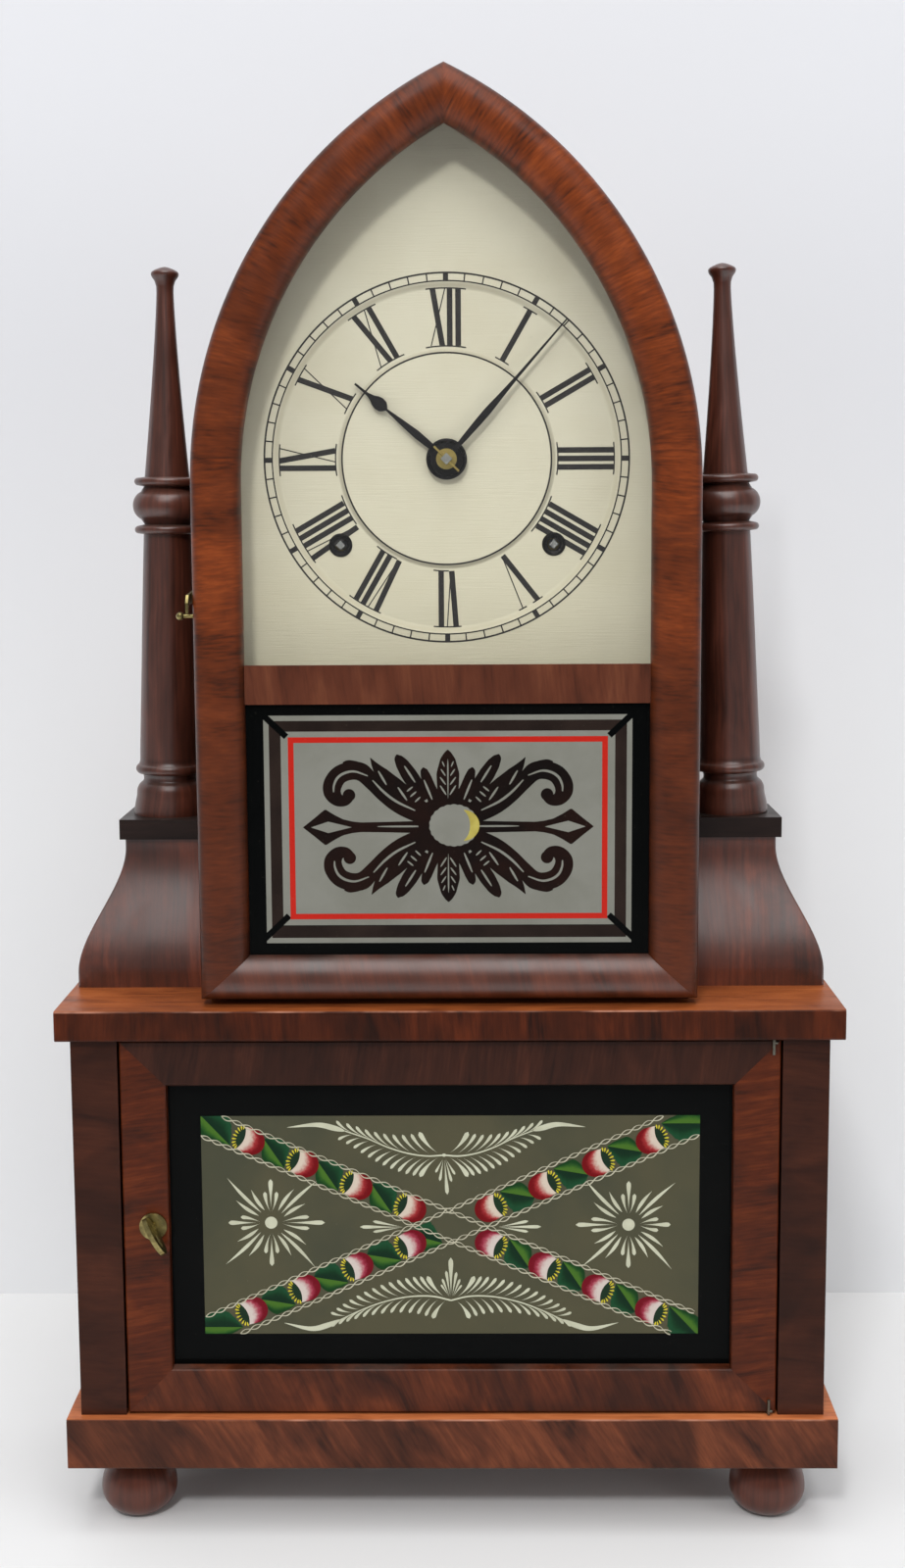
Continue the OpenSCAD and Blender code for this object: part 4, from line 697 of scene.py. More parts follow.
def columnPiece(side):
    # Turned profile, leaned about its foot and set on the shelf.
    h = column["height"]
    lean = radians(column["leanLeft" if side < 0 else "leanRight"])
    base = throughPoints([(17.5, 0), (17.5, 2.4), (17.0, 5.4), (16.3, 9), (16.0, 12.2),
        (14.8, 14.6), (13.1, 16.2), (12.8, 17.8), (13.2, 19.4)], 4)
    torus = arc(14.1, 22, 2.4, 2.4, -60, 66, 14)
    ringZ, upperZ = 136.3, 158.9
    shaft = throughPoints([(14.5, 26), (14.35, 34), (13.6, 60), (12.6, 96), (11.6, ringZ - 8),
        (11.4, ringZ - 2.1)], 6)
    lower, upper = (arc(13.7, z, 1.8, 1.8, -82, 82, 14) for z in (ringZ, upperZ))
    bulb = arc(10.3, ringZ + 11.4, 6, 6.9, -68, 68, 18)
    t = shares(26)
    cone = np.stack([4 + 6.6 * (1 - t) ** 1.25, upperZ + 2.2 + (h - upperZ - 14) * t], axis=1)
    cap = throughPoints([(4.1, h - 9), (4.9, h - 6.5), (5.95, h - 5), (6.45, h - 3.8),
        (6.25, h - 2.6), (4.85, h - 1.6), (2.2, h - 0.5), (0, h)], 4)
    profile = np.vstack([[(0, 0)], base, torus, shaft, lower, [(10.8, ringZ + 2.5)], bulb,
        [(11, upperZ - 2.3)], upper, cone, cap])
    points, grain = lathe(profile)
    x, y, z = np.moveaxis(points, -1, 0)
    leaned = np.stack([side * (x * cos(lean) - z * sin(lean) + column["x"]), y + column["y"],
        np.maximum(z * cos(lean) + x * sin(lean), 0) + column["z"]], axis=-1)
    grooves = [(14, 16.5, 19), (ringZ + 1.8, ringZ + 2.6, ringZ + 4),
        (upperZ - 4, upperZ - 2.4, upperZ - 1.8), (24, 25.5, 28)]
    narrow = np.clip(sum(np.interp(profile[:, 1], groove, [0, 1, 0]) for groove in grooves), 0, 1)
    where = "Left" if side < 0 else "Right"
    addPiece("column" + where, leaned, gridFaces(*points.shape[:2]), "turned",
        slot="dark_mahogany", instead=("column_" + where.lower(),), crease=50,
        grain=(grain[0] + side * 0.4, grain[1]), shade=narrow[:, None])


def feetPiece():
    # Four turned feet: the same profile at each corner.
    r, h = foot["radius"], foot["height"]
    wide, neck = h * 0.38, h * 0.82
    under = arc(0, wide, r, wide / sin(radians(65)), -65, 0, 16)
    over = arc(0, wide, r, (neck - wide) / sin(radians(51)), 4, 51, 14)
    collar = throughPoints([(r * 0.64, h - 5), (r * 0.66, h - 4.4), (r * 0.72, h - 3.5),
        (r * 0.72, h - 0.2)], 3)
    profile = np.vstack([[(0, 0)], under, over, collar, [(0, h - 0.2)]])
    points, grain = lathe(profile, 56)
    rows, columns = points.shape[:2]
    corners = np.array([(sx * foot["insetX"], fy, 0) for sx in (-1, 1) for fy in foot["insetY"]])
    number = np.arange(4)[:, None, None]
    faces = [gridFaces(rows, columns, start) for start in np.arange(4) * rows * columns]
    mask = np.clip(np.interp(profile[:, 1], [h - 7, h - 5, h - 3.5], [0, 1, 0]), 0, 1)
    addPiece("turnedFeet", points + corners[:, None, None], np.vstack(faces), "foot",
        instead=("ball_feet",), grain=(grain[0] + number * 0.21, grain[1] + number * 0.21),
        shade=mask[:, None])


for side in (-1, 1):
    bracketPiece(side)
    columnPiece(side)
feetPiece()
print("stage: brackets, columns and feet")

dial = {"z": 493.7, "face": 36.5, "film": 0.04, "track": (78.2, 81.7), "numerals": (49.8, 75.0),
    "rings": ((81.7, 0.8), (78.2, 0.6), (46.9, 0.75)), "ticks": (2.3, 0.62),
    "winding": (48.0, 38.0), "stem": 2.5, "hair": 0.5, "serif": 0.6, "pitch": 3.75}


def ringPath(radius, steps=180):
    angle = np.linspace(0, 2 * pi, steps, endpoint=False)
    return np.stack([radius * np.sin(angle), dial["z"] + radius * np.cos(angle)], axis=1)


def onDial(hourAngle, strokes):
    # Upright strokes of tangent and radius, bent with the ring and turned to their place:
    # each point drops by t t / 2 r, then x = r sin + t cos and z = r cos - t sin.
    a = radians(hourAngle)
    for path, widths in strokes:
        t, r = np.array(path, dtype=float).T
        r = r - (t * t / (2 * r) if len(t) > 2 else 0)
        x, z = r * sin(a) + t * cos(a), dial["z"] + r * cos(a) - t * sin(a)
        yield np.stack([x, z], axis=1), widths


def numeral(letters):
    # Thick stems, hairline second diagonals and thin bars along the top and the bottom; a
    # five has none at its point, and standing alone it is wide with two short bars.
    low, high = dial["numerals"]
    alone = letters == "V"
    spread = 3.9 if alone else 2.0
    advance = {"I": dial["pitch"], "V": 2 * spread + 1.6, "X": 7.2}
    ends = [-sum(advance[c] for c in letters) / 2]
    strokes = []
    for c in letters:
        middle = ends[-1] + advance[c] / 2
        if c == "I":
            strokes.append(([(middle, low), (middle, high)], dial["stem"]))
        if c == "V":
            strokes.append(([(middle - spread, high), (middle - 0.1, low)], dial["stem"]))
            strokes.append(([(middle + spread, high), (middle + 0.3, low)], dial["hair"]))
        if c == "X":
            strokes.append(([(middle - 2.2, high), (middle + 2.2, low)], dial["stem"]))
            strokes.append(([(middle + 3.4, high), (middle - 2.8, low)], dial["hair"]))
        ends.append(ends[-1] + advance[c])
    bars = [(-spread - 2.6, -spread + 2.6, high), (spread - 2.0, spread + 2.0, high)] if alone \
        else [(ends[0] - 1.6, ends[-1] + 1.6, high),
              (ends[letters.count("V")] - 1.6, ends[-1] + 1.6, low)]
    for start, end, r in bars:
        strokes.append(([(t, r) for t in np.linspace(start, end, 9)], dial["serif"]))
    return strokes


def dialPrint():
    store = newStore(dial["face"] - dial["film"], dial["face"] - 0.005)
    inner, outer = dial["track"]
    for radius, width in dial["rings"]:
        stroke(store, ringPath(radius), width, closed=True)
    for minute in range(60):
        wide = dial["ticks"][0 if minute % 5 == 0 else 1]
        for path, width in onDial(minute * 6, [([(0, inner), (0, outer)], wide)]):
            stroke(store, path, width)
    names = ["XII", "I", "II", "III", "IIII", "V", "VI", "VII", "VIII", "IX", "X", "XI"]
    for hour, letters in enumerate(names):
        for path, width in onDial(hour * 30, numeral(letters)):
            stroke(store, path, width)
    storePiece("dialPrint", store, "print", slot="dial_paint")


def dialPaint():
    # Cream paint over a shallow dished time ring: rings of the radius from the dial's
    # centre raise the bump, and painted shade darkens the slopes of the dish.
    material, shader = newMaterial("dial paint", Roughness=0.55, Specular_IOR_Level=0.25)
    paint = paintFilm((203, 197, 176), (192, 184, 160), 0.5, 22.0, 0.25)
    x, y, z = axesOf(objectPlace())
    down = maths("SUBTRACT", z, dial["z"] / 1000)
    radius = maths("SQRT", plus(times(x, x), times(down, down)))
    dished = times(smooth(radius, 0.0462, 0.0492), smooth(radius, 0.0785, 0.0745))
    brush = noise(stretch(put("CombineXYZ", {0: x, 1: z}).outputs[0], (60, 1400, 1)), 1.0, 2)
    warm = blend(times(smooth(z, 0.53, 0.40), 0.35), paint["Color"], tint(198, 190, 160))
    # Painted shade along the slopes of the dished time ring.
    rimShade = times(dished, maths("SUBTRACT", 1.0, dished), 0.9)
    finishShader(shader, blend(rimShade, warm, tint(150, 138, 108)),
        plus(times(dished, -1.0), times(brush, 0.06)), 0.8, 0.0022)
    return material


def aboutHole(name, x, z, profile, finish, body):
    # A ring turned about the line through a hole: radius and depth of its closed profile.
    points = lathe(profile, 48)[0]
    spots = np.stack([points[..., 0] + x, points[..., 2], points[..., 1] + z], axis=-1)
    addPiece(name, spots, gridFaces(*points.shape[:2]), finish, body=body, slot="blued_steel",
        crease=50)


def squareEnd(name, x, z, front, back, half, body):
    # A square on its corner, as a stroke that widens to its middle and closes again.
    end = newStore(front, back)
    stroke(end, [(x, z - half), (x, z), (x, z + half)], [0.02, 2 * half, 0.02])
    storePiece(name, end, "square", body=body, slot="steel", crease=20)


def dialFittings():
    # Black grommets in the winding holes, the rounded rim of the hour hand's cup and the
    # steel square in front of the washer.
    lip = [(5.28, 37.2), (5.28, 36.2), (4.9, 35.8), (4.3, 35.8), (3.9, 36.1), (3.7, 36.35),
        (2.75, 36.4), (2.75, 37.25), (5.28, 37.2)]
    for side, where, body in ((-1, "Left", "strike_arbor"), (1, "Right", "going_arbor")):
        x, z = side * dial["winding"][0], dial["z"] - dial["winding"][1]
        aboutHole("windingRim" + where, x, z, lip, "rubber", "case")
        squareEnd("windingEnd" + where, x, z, 36.2, 36.72, 2.1, body)
    rim = arc(8.2, 33.25, 0.86, 0.8, 0, 360, 17)
    aboutHole("hubRim", 0.0, dial["z"], rim, "cup", "hour_hand")
    squareEnd("arborSquare", 0, dial["z"], 26.46, 29.85, 2.64, "minute_hand")


finishes["rubber"] = metal("blackened rim", (30, 28, 28), (18, 17, 16), 0.5, 0.3, 0.45)
finishes["cup"] = metal("black cup", (40, 38, 40), (22, 21, 22), 0.5, 0.2, 0.34)
finishes["square"] = metal("worn square", (168, 168, 166), (118, 114, 108), 0.5, 0.3, 0.5)
finishes["wire"] = metal("dull wire", (128, 124, 112), (84, 80, 70), 0.6, 0.45, 0.6)
finishes["dial"] = dialPaint()
dialPrint()
dialFittings()
print("stage: dial")

tablet = {"face": 15.0, "film": 0.03, "centreZ": 330.6, "outer": (81.0, 379.5, 278.6),
    "inner": (74.6, 373.5, 285.6), "red": (70.1, 369.7, 289.6), "silverWidth": 2.4,
    "redWidth": 2.5, "mitre": ((83.6, 51.6), (72.0, 40.6)), "mitreWidth": 2.8,
    "aperture": (2.6, 331.0, 10.8, 9.3)}
# Ornament of the tablet's upper left quarter, measured from its centre outwards: lines
# through points with their widths; the other quarters mirror it
scrollwork = {
    "scroll": (((12, 4), (15.6, 5.1), (22.2, 8.4), (28.1, 13.2), (33.2, 19.0), (38.3, 24.4),
                (43.5, 25.2), (48.6, 23.3), (51.5, 19.2), (51.7, 15.4), (49.6, 12.4),
                (46.4, 11.6), (44.2, 13.2)),
               (5, 5.1, 5.1, 5.5, 6.6, 8.2, 8.1, 8.2, 8.4, 7.9, 6.2, 4.6, 4.2)),
    "ball": ((44.3, 14.2), 2.8),
    "lobes": ((((34.6, 31.0), (32.4, 27.4), (29.4, 23.6), (24.4, 18.6), (17.8, 13), (12, 8)),
               (0.2, 3.2, 6.2, 8, 8, 7)),
              (((22.8, 32.4), (22.2, 31.0), (20.4, 28.2), (17.6, 23.8), (14.5, 19), (10, 12)),
               (0.6, 3.6, 5.8, 7, 7, 7)),
              (((11.0, 26.6), (10.7, 25.2), (9.7, 22), (7.9, 16.8), (5.4, 11)),
               (0.5, 3.2, 4.6, 5.5, 6.6)),
              (((36, 24.9), (41.3, 27.3), (44.6, 28.6), (46.9, 29.0)), (4.4, 4.6, 3.0, 0.4))),
    "stem": ((10, 5.6), (14.8, 5.3), (25, 4.8), (39, 4.3), (43, 5.2), (47.1, 7.2), (51, 11.2),
             (55.1, 16.4), (60, 8.2), (65.1, 0.1)),
    "lines": ((((51.2, 15.6), (51.0, 18.6), (49.4, 22), (46.2, 24.2), (41.7, 24.9),
                (35.8, 22.9)), 1.15),
              (((33.7, 20.9), (28.6, 15.5), (22.8, 11.1), (14.8, 7.2)), 1.15),
              (((31.1, 25.1), (27.5, 18.8)), 1.0), (((22.4, 17.7), (18.4, 11.8)), 1.0),
              (((19.4, 27.3), (14.7, 19.9)), 1.0), (((10.7, 21), (7.1, 12.1)), 1.0),
              (((18.4, 15.8), (15.8, 17.9)), 0.8), (((16.9, 13.4), (14.2, 15.7)), 0.8),
              (((14.8, 11), (12.4, 13.3)), 0.8), (((2.5, 29.3), (1.5, 26.9)), 0.6),
              (((3.1, 25.8), (1.1, 22.8)), 0.7), (((3.5, 22.2), (1.0, 18.8)), 0.75),
              (((3.5, 18.4), (0.8, 14.2)), 0.8), (((31.7, 0), (24, 0.1), (13.4, 0.2)), 0.6)),
    "hole": ((43.4, 0.1), (53.8, 5.2), (61.4, 0.1))}


def sheetStroke(store, halfWidth, z1, z0):  # a whole rectangle as one wide stroke
    stroke(store, [(-halfWidth, (z0 + z1) / 2), (halfWidth, (z0 + z1) / 2)], z1 - z0)


def frameStroke(store, halfWidth, z1, z0, width):  # a line round a rectangle
    for x in (-halfWidth, halfWidth):
        stroke(store, [(x, z0 - width / 2), (x, z1 + width / 2)], width)
    for z in (z0, z1):
        stroke(store, [(-halfWidth, z), (halfWidth, z)], width)


def mirrored(path):  # the four mirror images of a path about the tablet's centre
    p = np.array(path, dtype=float)
    return [p * np.array([sx, sz]) + np.array([0, tablet["centreZ"]]) for sx in (-1, 1)
        for sz in (-1, 1)]


def middleTablet():
    band, lines = paintLayer(tablet, 0.5), paintLayer(tablet, 1)
    outer, inner = tablet["outer"], tablet["inner"]
    frameStroke(band, *[(a + b) / 2 for a, b in zip(outer, inner)], outer[0] - inner[0])
    paintPiece("tabletBand", band, "darkBand")
    frameStroke(lines, *outer, tablet["silverWidth"])
    sheetStroke(lines, *inner)
    paintPiece("tabletSilver", lines, "silver")
    mitres = paintLayer(tablet, 1.5)
    for path in mirrored(tablet["mitre"]):
        stroke(mitres, path, tablet["mitreWidth"])
    paintPiece("tabletMitres", mitres, "blackPaint")
    red = paintLayer(tablet, 2)
    frameStroke(red, *tablet["red"], tablet["redWidth"])
    paintPiece("tabletRedLine", red, "redLine")
    leaves = paintLayer(tablet, 3)
    curves = [scrollwork["scroll"], *scrollwork["lobes"]]
    for places, widths in curves:
        for path in mirrored(throughPoints(places, 7)):
            n = np.linspace(0, len(widths) - 1, len(path))
            stroke(leaves, path, np.interp(n, np.arange(len(widths)), widths))
    ball, radius = scrollwork["ball"]
    for path in mirrored([ball]):
        stroke(leaves, *oval(path[0], radius, 2 * radius))
    x, width = np.array(scrollwork["stem"]).T
    along = np.linspace(x[0], x[-1], 70)
    for sx in (-1, 1):
        stroke(leaves, np.stack([sx * along, np.full(70, tablet["centreZ"] - 0.3)], axis=1),
            np.interp(along, x, width))
    t = shares(25)
    for sz in (-1, 1):
        path = np.stack([0 * t, tablet["centreZ"] + sz * (8 + 26.5 * t)], axis=1)
        stroke(leaves, path, np.interp(t, [0, 0.25, 0.6, 0.85, 0.95, 1],
            [8.6, 9.4, 10.2, 6.6, 3.2, 0.3]))
    stroke(leaves, *oval((0, tablet["centreZ"]), 15.8, 27.5, steps=25))
    paintPiece("tabletLeaves", leaves, "blackLeaves")
    veins = paintLayer(tablet, 4)
    for places, width in scrollwork["lines"]:
        for path in mirrored(throughPoints(places, 7)):
            n = shares(len(path))
            stroke(veins, path, width * np.sin(np.pi * (0.06 + 0.88 * n)) ** 0.5)
    for sx in (-1, 1):
        x, width = np.array(scrollwork["hole"]).T
        stroke(veins, np.stack([sx * x, np.full(3, tablet["centreZ"] - 0.3)], axis=1), width)
    for sz in (-1, 1):
        stroke(veins, *drop((0, tablet["centreZ"] + sz * 12.6), (0, tablet["centreZ"] + sz * 30.4),
            0.9))
    paintPiece("tabletVeins", veins, "silver")


def aperture():
    # Scalloped oval: the radius swells by small lobes round the rim.
    x0, z0, a, b = tablet["aperture"]
    store = paintLayer(tablet, 5)
    angle = np.linspace(0, pi, 80)
    lobes = 1 + 0.035 * np.abs(np.sin(angle * 11))
    x = x0 - a * np.cos(angle) * lobes
    path = np.stack([x, np.full_like(x, z0)], axis=1)
    stroke(store, path, 2 * b * np.maximum(np.sin(angle), 0.01) * lobes)
    paintPiece("tabletAperture", store, "silver")
    # A crescent of painted light: the glint of the lit brass bob as seen through the aperture.
    crescent = paintLayer(tablet, 6)
    t = np.linspace(-1.15, 1.15, 24)
    path = np.stack([x0 + 1.1 + 8.2 * np.cos(t), z0 + 7.6 * np.sin(t)], axis=1)
    stroke(crescent, path, 4.2 * np.cos(t * 1.34) + 0.1)
    paintPiece("bobGlint", crescent, "bobGlint")


middleTablet()
aperture()
print("stage: middle tablet")

garden = {"face": 11.8, "film": 0.03, "field": (113.7, 94.0, 197.8),
          "buds": (91.0, 40.2, 24.5, 10.7), "budsZ": 145.6,
          "borders": (((-104.1, 197.7), (111.9, 104.2)), ((-113.7, 188.5), (101.2, 94.2)),
                      ((-113.3, 102.2), (97.0, 197.4)), ((-97.4, 94.1), (113.4, 188.6)))}
# Sprays: spine from the centre outwards, its pointed end, and above and below the spine the
# leaflets' number, first and last angle and first and last length
sprays = {
    "upper": {"centre": (-2.8, 179.2), "reach": (1.0, 0.9),
              "spine": ((0, 0), (8, -0.4), (17, 1.0), (26, 3.9), (35, 7.9), (45, 11.4)),
              "end": ((45, 11.4), (50, 12.8), (58, 14.4), (71.5, 13.2)),
              "above": (10, 50, 38, 14.4, 10.2), "below": (12, -48, -20, 13.6, 7.8)},
    "lower": {"centre": (0.0, 110.0), "reach": (1.0, 1.0),
              "spine": ((0, 0), (9, 2.0), (20, 1.7), (31.6, -0.9), (42, -4.9), (51, -9.2)),
              "end": ((51, -9.2), (57, -11.9), (65, -13.6), (77, -10.8)),
              "above": (14, 52, 12, 14.0, 8.2), "below": (13, -56, -34, 11.2, 9.2)}}
finishes["field"] = film("olive field", (78, 75, 57), (64, 66, 53), 0.8, 14.0, 0.2, rough=0.4,
    sheen=0.08)
finishes["cream"] = film("cream strokes", (190, 191, 168), (166, 166, 143), 0.6, 90.0, 0.1,
    rough=0.4)
finishes["cord"] = film("grey cord lines", (184, 180, 158), (156, 152, 130), 0.6, 90.0, 0.1,
    rough=0.4)
finishes["yellow"] = film("yellow dashes", (196, 182, 52), (166, 156, 44), 0.6, 120.0, 0.05,
    rough=0.4)
finishes["calyx"] = film("dark green hollow", (20, 44, 26), (18, 38, 24), 0.6, 80.0, 0.05,
    rough=0.4)


def shaded(name, start, middle, end, scale):
    # Hand-laid paint: the piece's own shade carries it from the first colour over the
    # middle one to the last, and brush noise frays the passage.
    material, shader = newMaterial(name, Roughness=0.4, Specular_IOR_Level=0.1)
    frayed = maths("MULTIPLY_ADD", noise(objectPlace(), scale, 3, 0.6), 0.3, edgeAttribute())
    colour = blend(smooth(frayed, 0.4, 0.74), tint(*start), tint(*middle))
    feed(shader, {"Base Color": blend(smooth(frayed, 0.6, 0.98), colour, tint(*end))})
    return material


finishes["petal"] = shaded("petals", (104, 10, 16), (156, 48, 50), (196, 182, 166), 700)
finishes["petalLow"] = shaded("lower petals", (104, 12, 26), (156, 58, 76), (194, 182, 174), 700)
finishes["leafDark"] = shaded("dark leaf", (13, 40, 24), (18, 54, 30), (24, 66, 40), 500)
finishes["leafLight"] = shaded("light leaf", (64, 100, 34), (42, 82, 30), (20, 56, 24), 500)


def twistedCords():
    # Two sine lines of opposite phase wound round each straight border, thick and thin.
    store = paintLayer(garden, 9)
    for start, end in garden["borders"]:
        start, end = np.array(start), np.array(end)
        length = np.hypot(*(end - start))
        t = shares(int(length * 1.6))
        aside = np.array([start[1] - end[1], end[0] - start[0]]) / length
        turn = t * length * 2 * pi / 10.5
        for sign in (-1, 1):
            path = start + (end - start) * t[:, None] \
                + aside * (sign * 0.9 * np.sin(turn))[:, None]
            stroke(store, path, 0.38 + 0.14 * sign * np.cos(turn + 0.6))
    paintPiece("twistedCords", store, "cord", "lower_door")


def blob(start, end, widest, bow=0.0):  # a drop with a long thin tail and a heavy end
    return drop(start, end, widest, bow, blunt=9.0, steps=14, swell=1.5)


def spray(store, facts, side):
    # Leaflets are drops from the spine outwards; angle and length run evenly from the first
    # to the last, and the first of each row is the broadest.
    x0, z0 = facts["centre"]
    reach = facts["reach"][0 if side < 0 else 1]
    scale = np.array([side * reach, 1.0])
    spine = throughPoints(facts["spine"], 8) * scale + (x0, z0)
    t = shares(len(spine))
    stroke(store, spine, 0.75 - 0.25 * t)
    end = throughPoints(facts["end"], 8) * scale + (x0, z0)
    n = shares(len(end))
    stroke(store, end, 2.5 * np.sin(np.pi * n ** 0.8) ** 0.9 + 0.1)
    for row, sign in (("above", 1), ("below", -1)):
        count, firstAngle, lastAngle, firstLength, lastLength = facts[row]
        for i in range(count):
            share = i / (count - 1)
            s = 0.05 + 0.87 * share
            at = np.array([np.interp(s, t, spine[:, 0]), np.interp(s, t, spine[:, 1])])
            angle = radians(firstAngle + (lastAngle - firstAngle) * share)
            length = firstLength + (lastLength - firstLength) * share
            way = np.array([side * cos(angle), sin(angle)]) * length
            width = 3.2 if i == 0 else 2.2 - 0.35 * share
            stroke(store, *blob(at + way * 0.12, at + way, width, -0.07 * side * sign))


def star(store, x, z, wide):
    # A disc, upright and level threes of drops, and slanting threes of pointed strokes.
    middle = np.array([x, z])
    stroke(store, *oval(middle, 2.85, 5.7))
    for k in range(4):
        a = radians(90 * k)
        ahead = np.array([cos(a), sin(a)])
        aside = np.array([-ahead[1], ahead[0]])
        reach = 20.6 if k % 2 else (24.6 if (k == 0) == (x < 0) else 19.6) * wide
        stroke(store, *blob(middle + ahead * 7, middle + ahead * reach, 3.0))
        for s in (-1, 1):
            stroke(store, *blob(middle + ahead * 5.2 + aside * s * 0.4,
                middle + ahead * reach * 0.71 + aside * s * 2.7, 2.5, 0.05 * s))
        b = radians(90 * k + 43)
        t = shares(14)
        for turn, far, width in ((0, 29, 1.5), (0.2, 19, 1.5), (-0.2, 18, 1.5)):
            slant = np.array([cos(b + turn), sin(b + turn)])
            off = np.array([-slant[1], slant[0]])
            path = middle + slant * (6.6 + (far - 6.6) * t)[:, None] \
                + off * (0.5 * np.sin(t * 3.1) + turn * 3)[:, None]
            stroke(store, path, width * np.sin(np.pi * t ** 0.85) ** 1.2 + 0.06)


def creamStrokes():
    store = paintLayer(garden, 2)
    for facts in sprays.values():
        for side in (-1, 1):
            spray(store, facts, side)
    x, z = sprays["upper"]["centre"]
    stroke(store, *oval((x, z), 0.9, 1.5))
    for dx, dz, width in ((1.4, -18.6, 2.5), (-2.0, -12.2, 1.8), (3.4, -12.6, 1.8),
            (-3.9, -8.2, 1.6), (5.0, -9.2, 1.6)):
        stroke(store, *blob((x + dx * 0.15, z - 1.8), (x + dx, z + dz), width))
    x, z = sprays["lower"]["centre"]
    for dx, dz, width in ((0, 20.4, 3.2), (-2.2, 14.2, 1.9), (2.6, 13.6, 1.9), (-4.0, 10.4, 1.6),
            (4.2, 10.2, 1.6), (-4.6, 7.6, 1.3), (5.0, 7.4, 1.3)):
        stroke(store, *blob((x + dx * 0.2, z + 2.0), (x + dx, z + dz), width))
    star(store, -82.3, 147.3, 1.0)
    star(store, 81.5, 146.1, 0.98)
    for sx in (-1, 1):
        base = np.array([sx * 22, 145.1])
        for dx, dz, width in ((19.5, 0.1, 2.3), (13.6, 2.8, 2.0), (13.6, -2.3, 1.8)):
            stroke(store, *blob(base, base + np.array([sx * dx, dz]), width))
    paintPiece("creamStrokes", store, "cream", "lower_door")


def budPlaces():  # four buds on each arm, stepping in from the corners towards the centre
    x0, z0, stepX, stepZ = garden["buds"]
    for sx in (-1, 1):
        for sz in (-1, 1):
            for i in range(4):
                yield sx, sz, i, np.array([sx * (x0 - stepX * i),
                    garden["budsZ"] + sz * (z0 - stepZ * i)])


def budsAndLeaves():
    # Band coordinates: s runs outwards along the arm from a bud's middle, t across it and
    # upwards. A cup is spanned between its round back and its hollowed mouth, a leaf between
    # its midrib and its edge, the dark half's edge in teeth.
    depths = {"leafDark": 4, "leafLight": 5, "petal": 6, "petalLow": 6.5, "calyx": 7, "yellow": 8}
    stores = {name: paintLayer(garden, number) for name, number in depths.items()}
    half, z0, z1 = garden["field"]
    v = np.linspace(-1, 1, 13)
    u = shares(7)[:, None]
    for sx, sz, i, here in budPlaces():
        out = np.array([sx * 0.917, sz * 0.399])
        up = np.array([-out[1], out[0]]) * sx

        def place(s, t, low=0.0):
            spots = here + np.multiply.outer(s, out) + np.multiply.outer(t, up)
            return np.clip(spots, (-half + low, z0 + low), (half - low, z1 - low))

        sides = -sx
        extra = [(-20.5, 0.8)] if i == 3 and sx < 0 and sz < 0 else []
        for start, grow in [(0.0, 1.5 if i == 0 else 1.0)] + extra:
            n = shares(25)
            far = start + 7.9 + 13.6 * grow
            rib = (far - 13.6 * grow * n, sides * (3.4 - 8.9 * n))
            teeth = 1 + 0.10 * np.abs(np.sin(n * 9 * pi)) * (n > 0.2)
            lightEdge = (rib[0] + 2.6 * np.sin(np.pi * n), sides
                * np.maximum(3.4 - 8.9 * n - 5.4 * np.sin(np.pi * n ** 0.8), -6.2))
            darkEdge = (rib[0] - 3.2 * np.sin(np.pi * n) * teeth,
                sides * np.minimum(3.4 - 8.9 * n + 8.4 * np.sin(np.pi * n ** 0.9) * teeth, 6.3))
            for edge, kind in ((darkEdge, "leafDark"), (lightEdge, "leafLight")):
                grid = place((1 - u) * rib[0] + u * edge[0], (1 - u) * rib[1] + u * edge[1])
                patch(stores[kind], grid, np.broadcast_to(u, grid.shape[:2]) * 1.0)
        back = (-6.5 * np.cos(v * pi / 2), 6.3 * np.sin(v * pi / 2))
        mouth = (3.5 + 1.5 * v ** 2, 5.4 * v)
        cup = place((1 - u) * back[0] + u * mouth[0], (1 - u) * back[1] + u * mouth[1])
        patch(stores["petal" if sz > 0 else "petalLow"], cup,
            np.broadcast_to(u, cup.shape[:2]) ** 0.85)
        rim = (4.6 + 3.0 * np.cos(v * pi / 2), 5.2 * np.sin(v * pi / 2))
        hollow = place((1 - u) * (mouth[0] - 0.3) + u * rim[0], (1 - u) * mouth[1] + u * rim[1])
        patch(stores["calyx"], hollow, np.zeros(hollow.shape[:2]))
        for a in np.radians(np.linspace(-80, 80, 9)):
            inner = place(4.9 + 1.7 * cos(a), 4.0 * sin(a))
            outer = place(4.9 + 3.9 * cos(a), 6.0 * sin(a))
            stroke(stores["yellow"], *drop(inner, outer, 0.95, steps=6))
    for name, store in stores.items():
        paintPiece("garland" + name[0].upper() + name[1:], store, name, "lower_door")


def gardenField():
    store = paintLayer(garden, 1)
    half, z0, z1 = garden["field"]
    sheetStroke(store, half, z1, z0)
    paintPiece("gardenField", store, "field", "lower_door")


gardenField()
creamStrokes()
twistedCords()
budsAndLeaves()
print("stage: lower tablet")


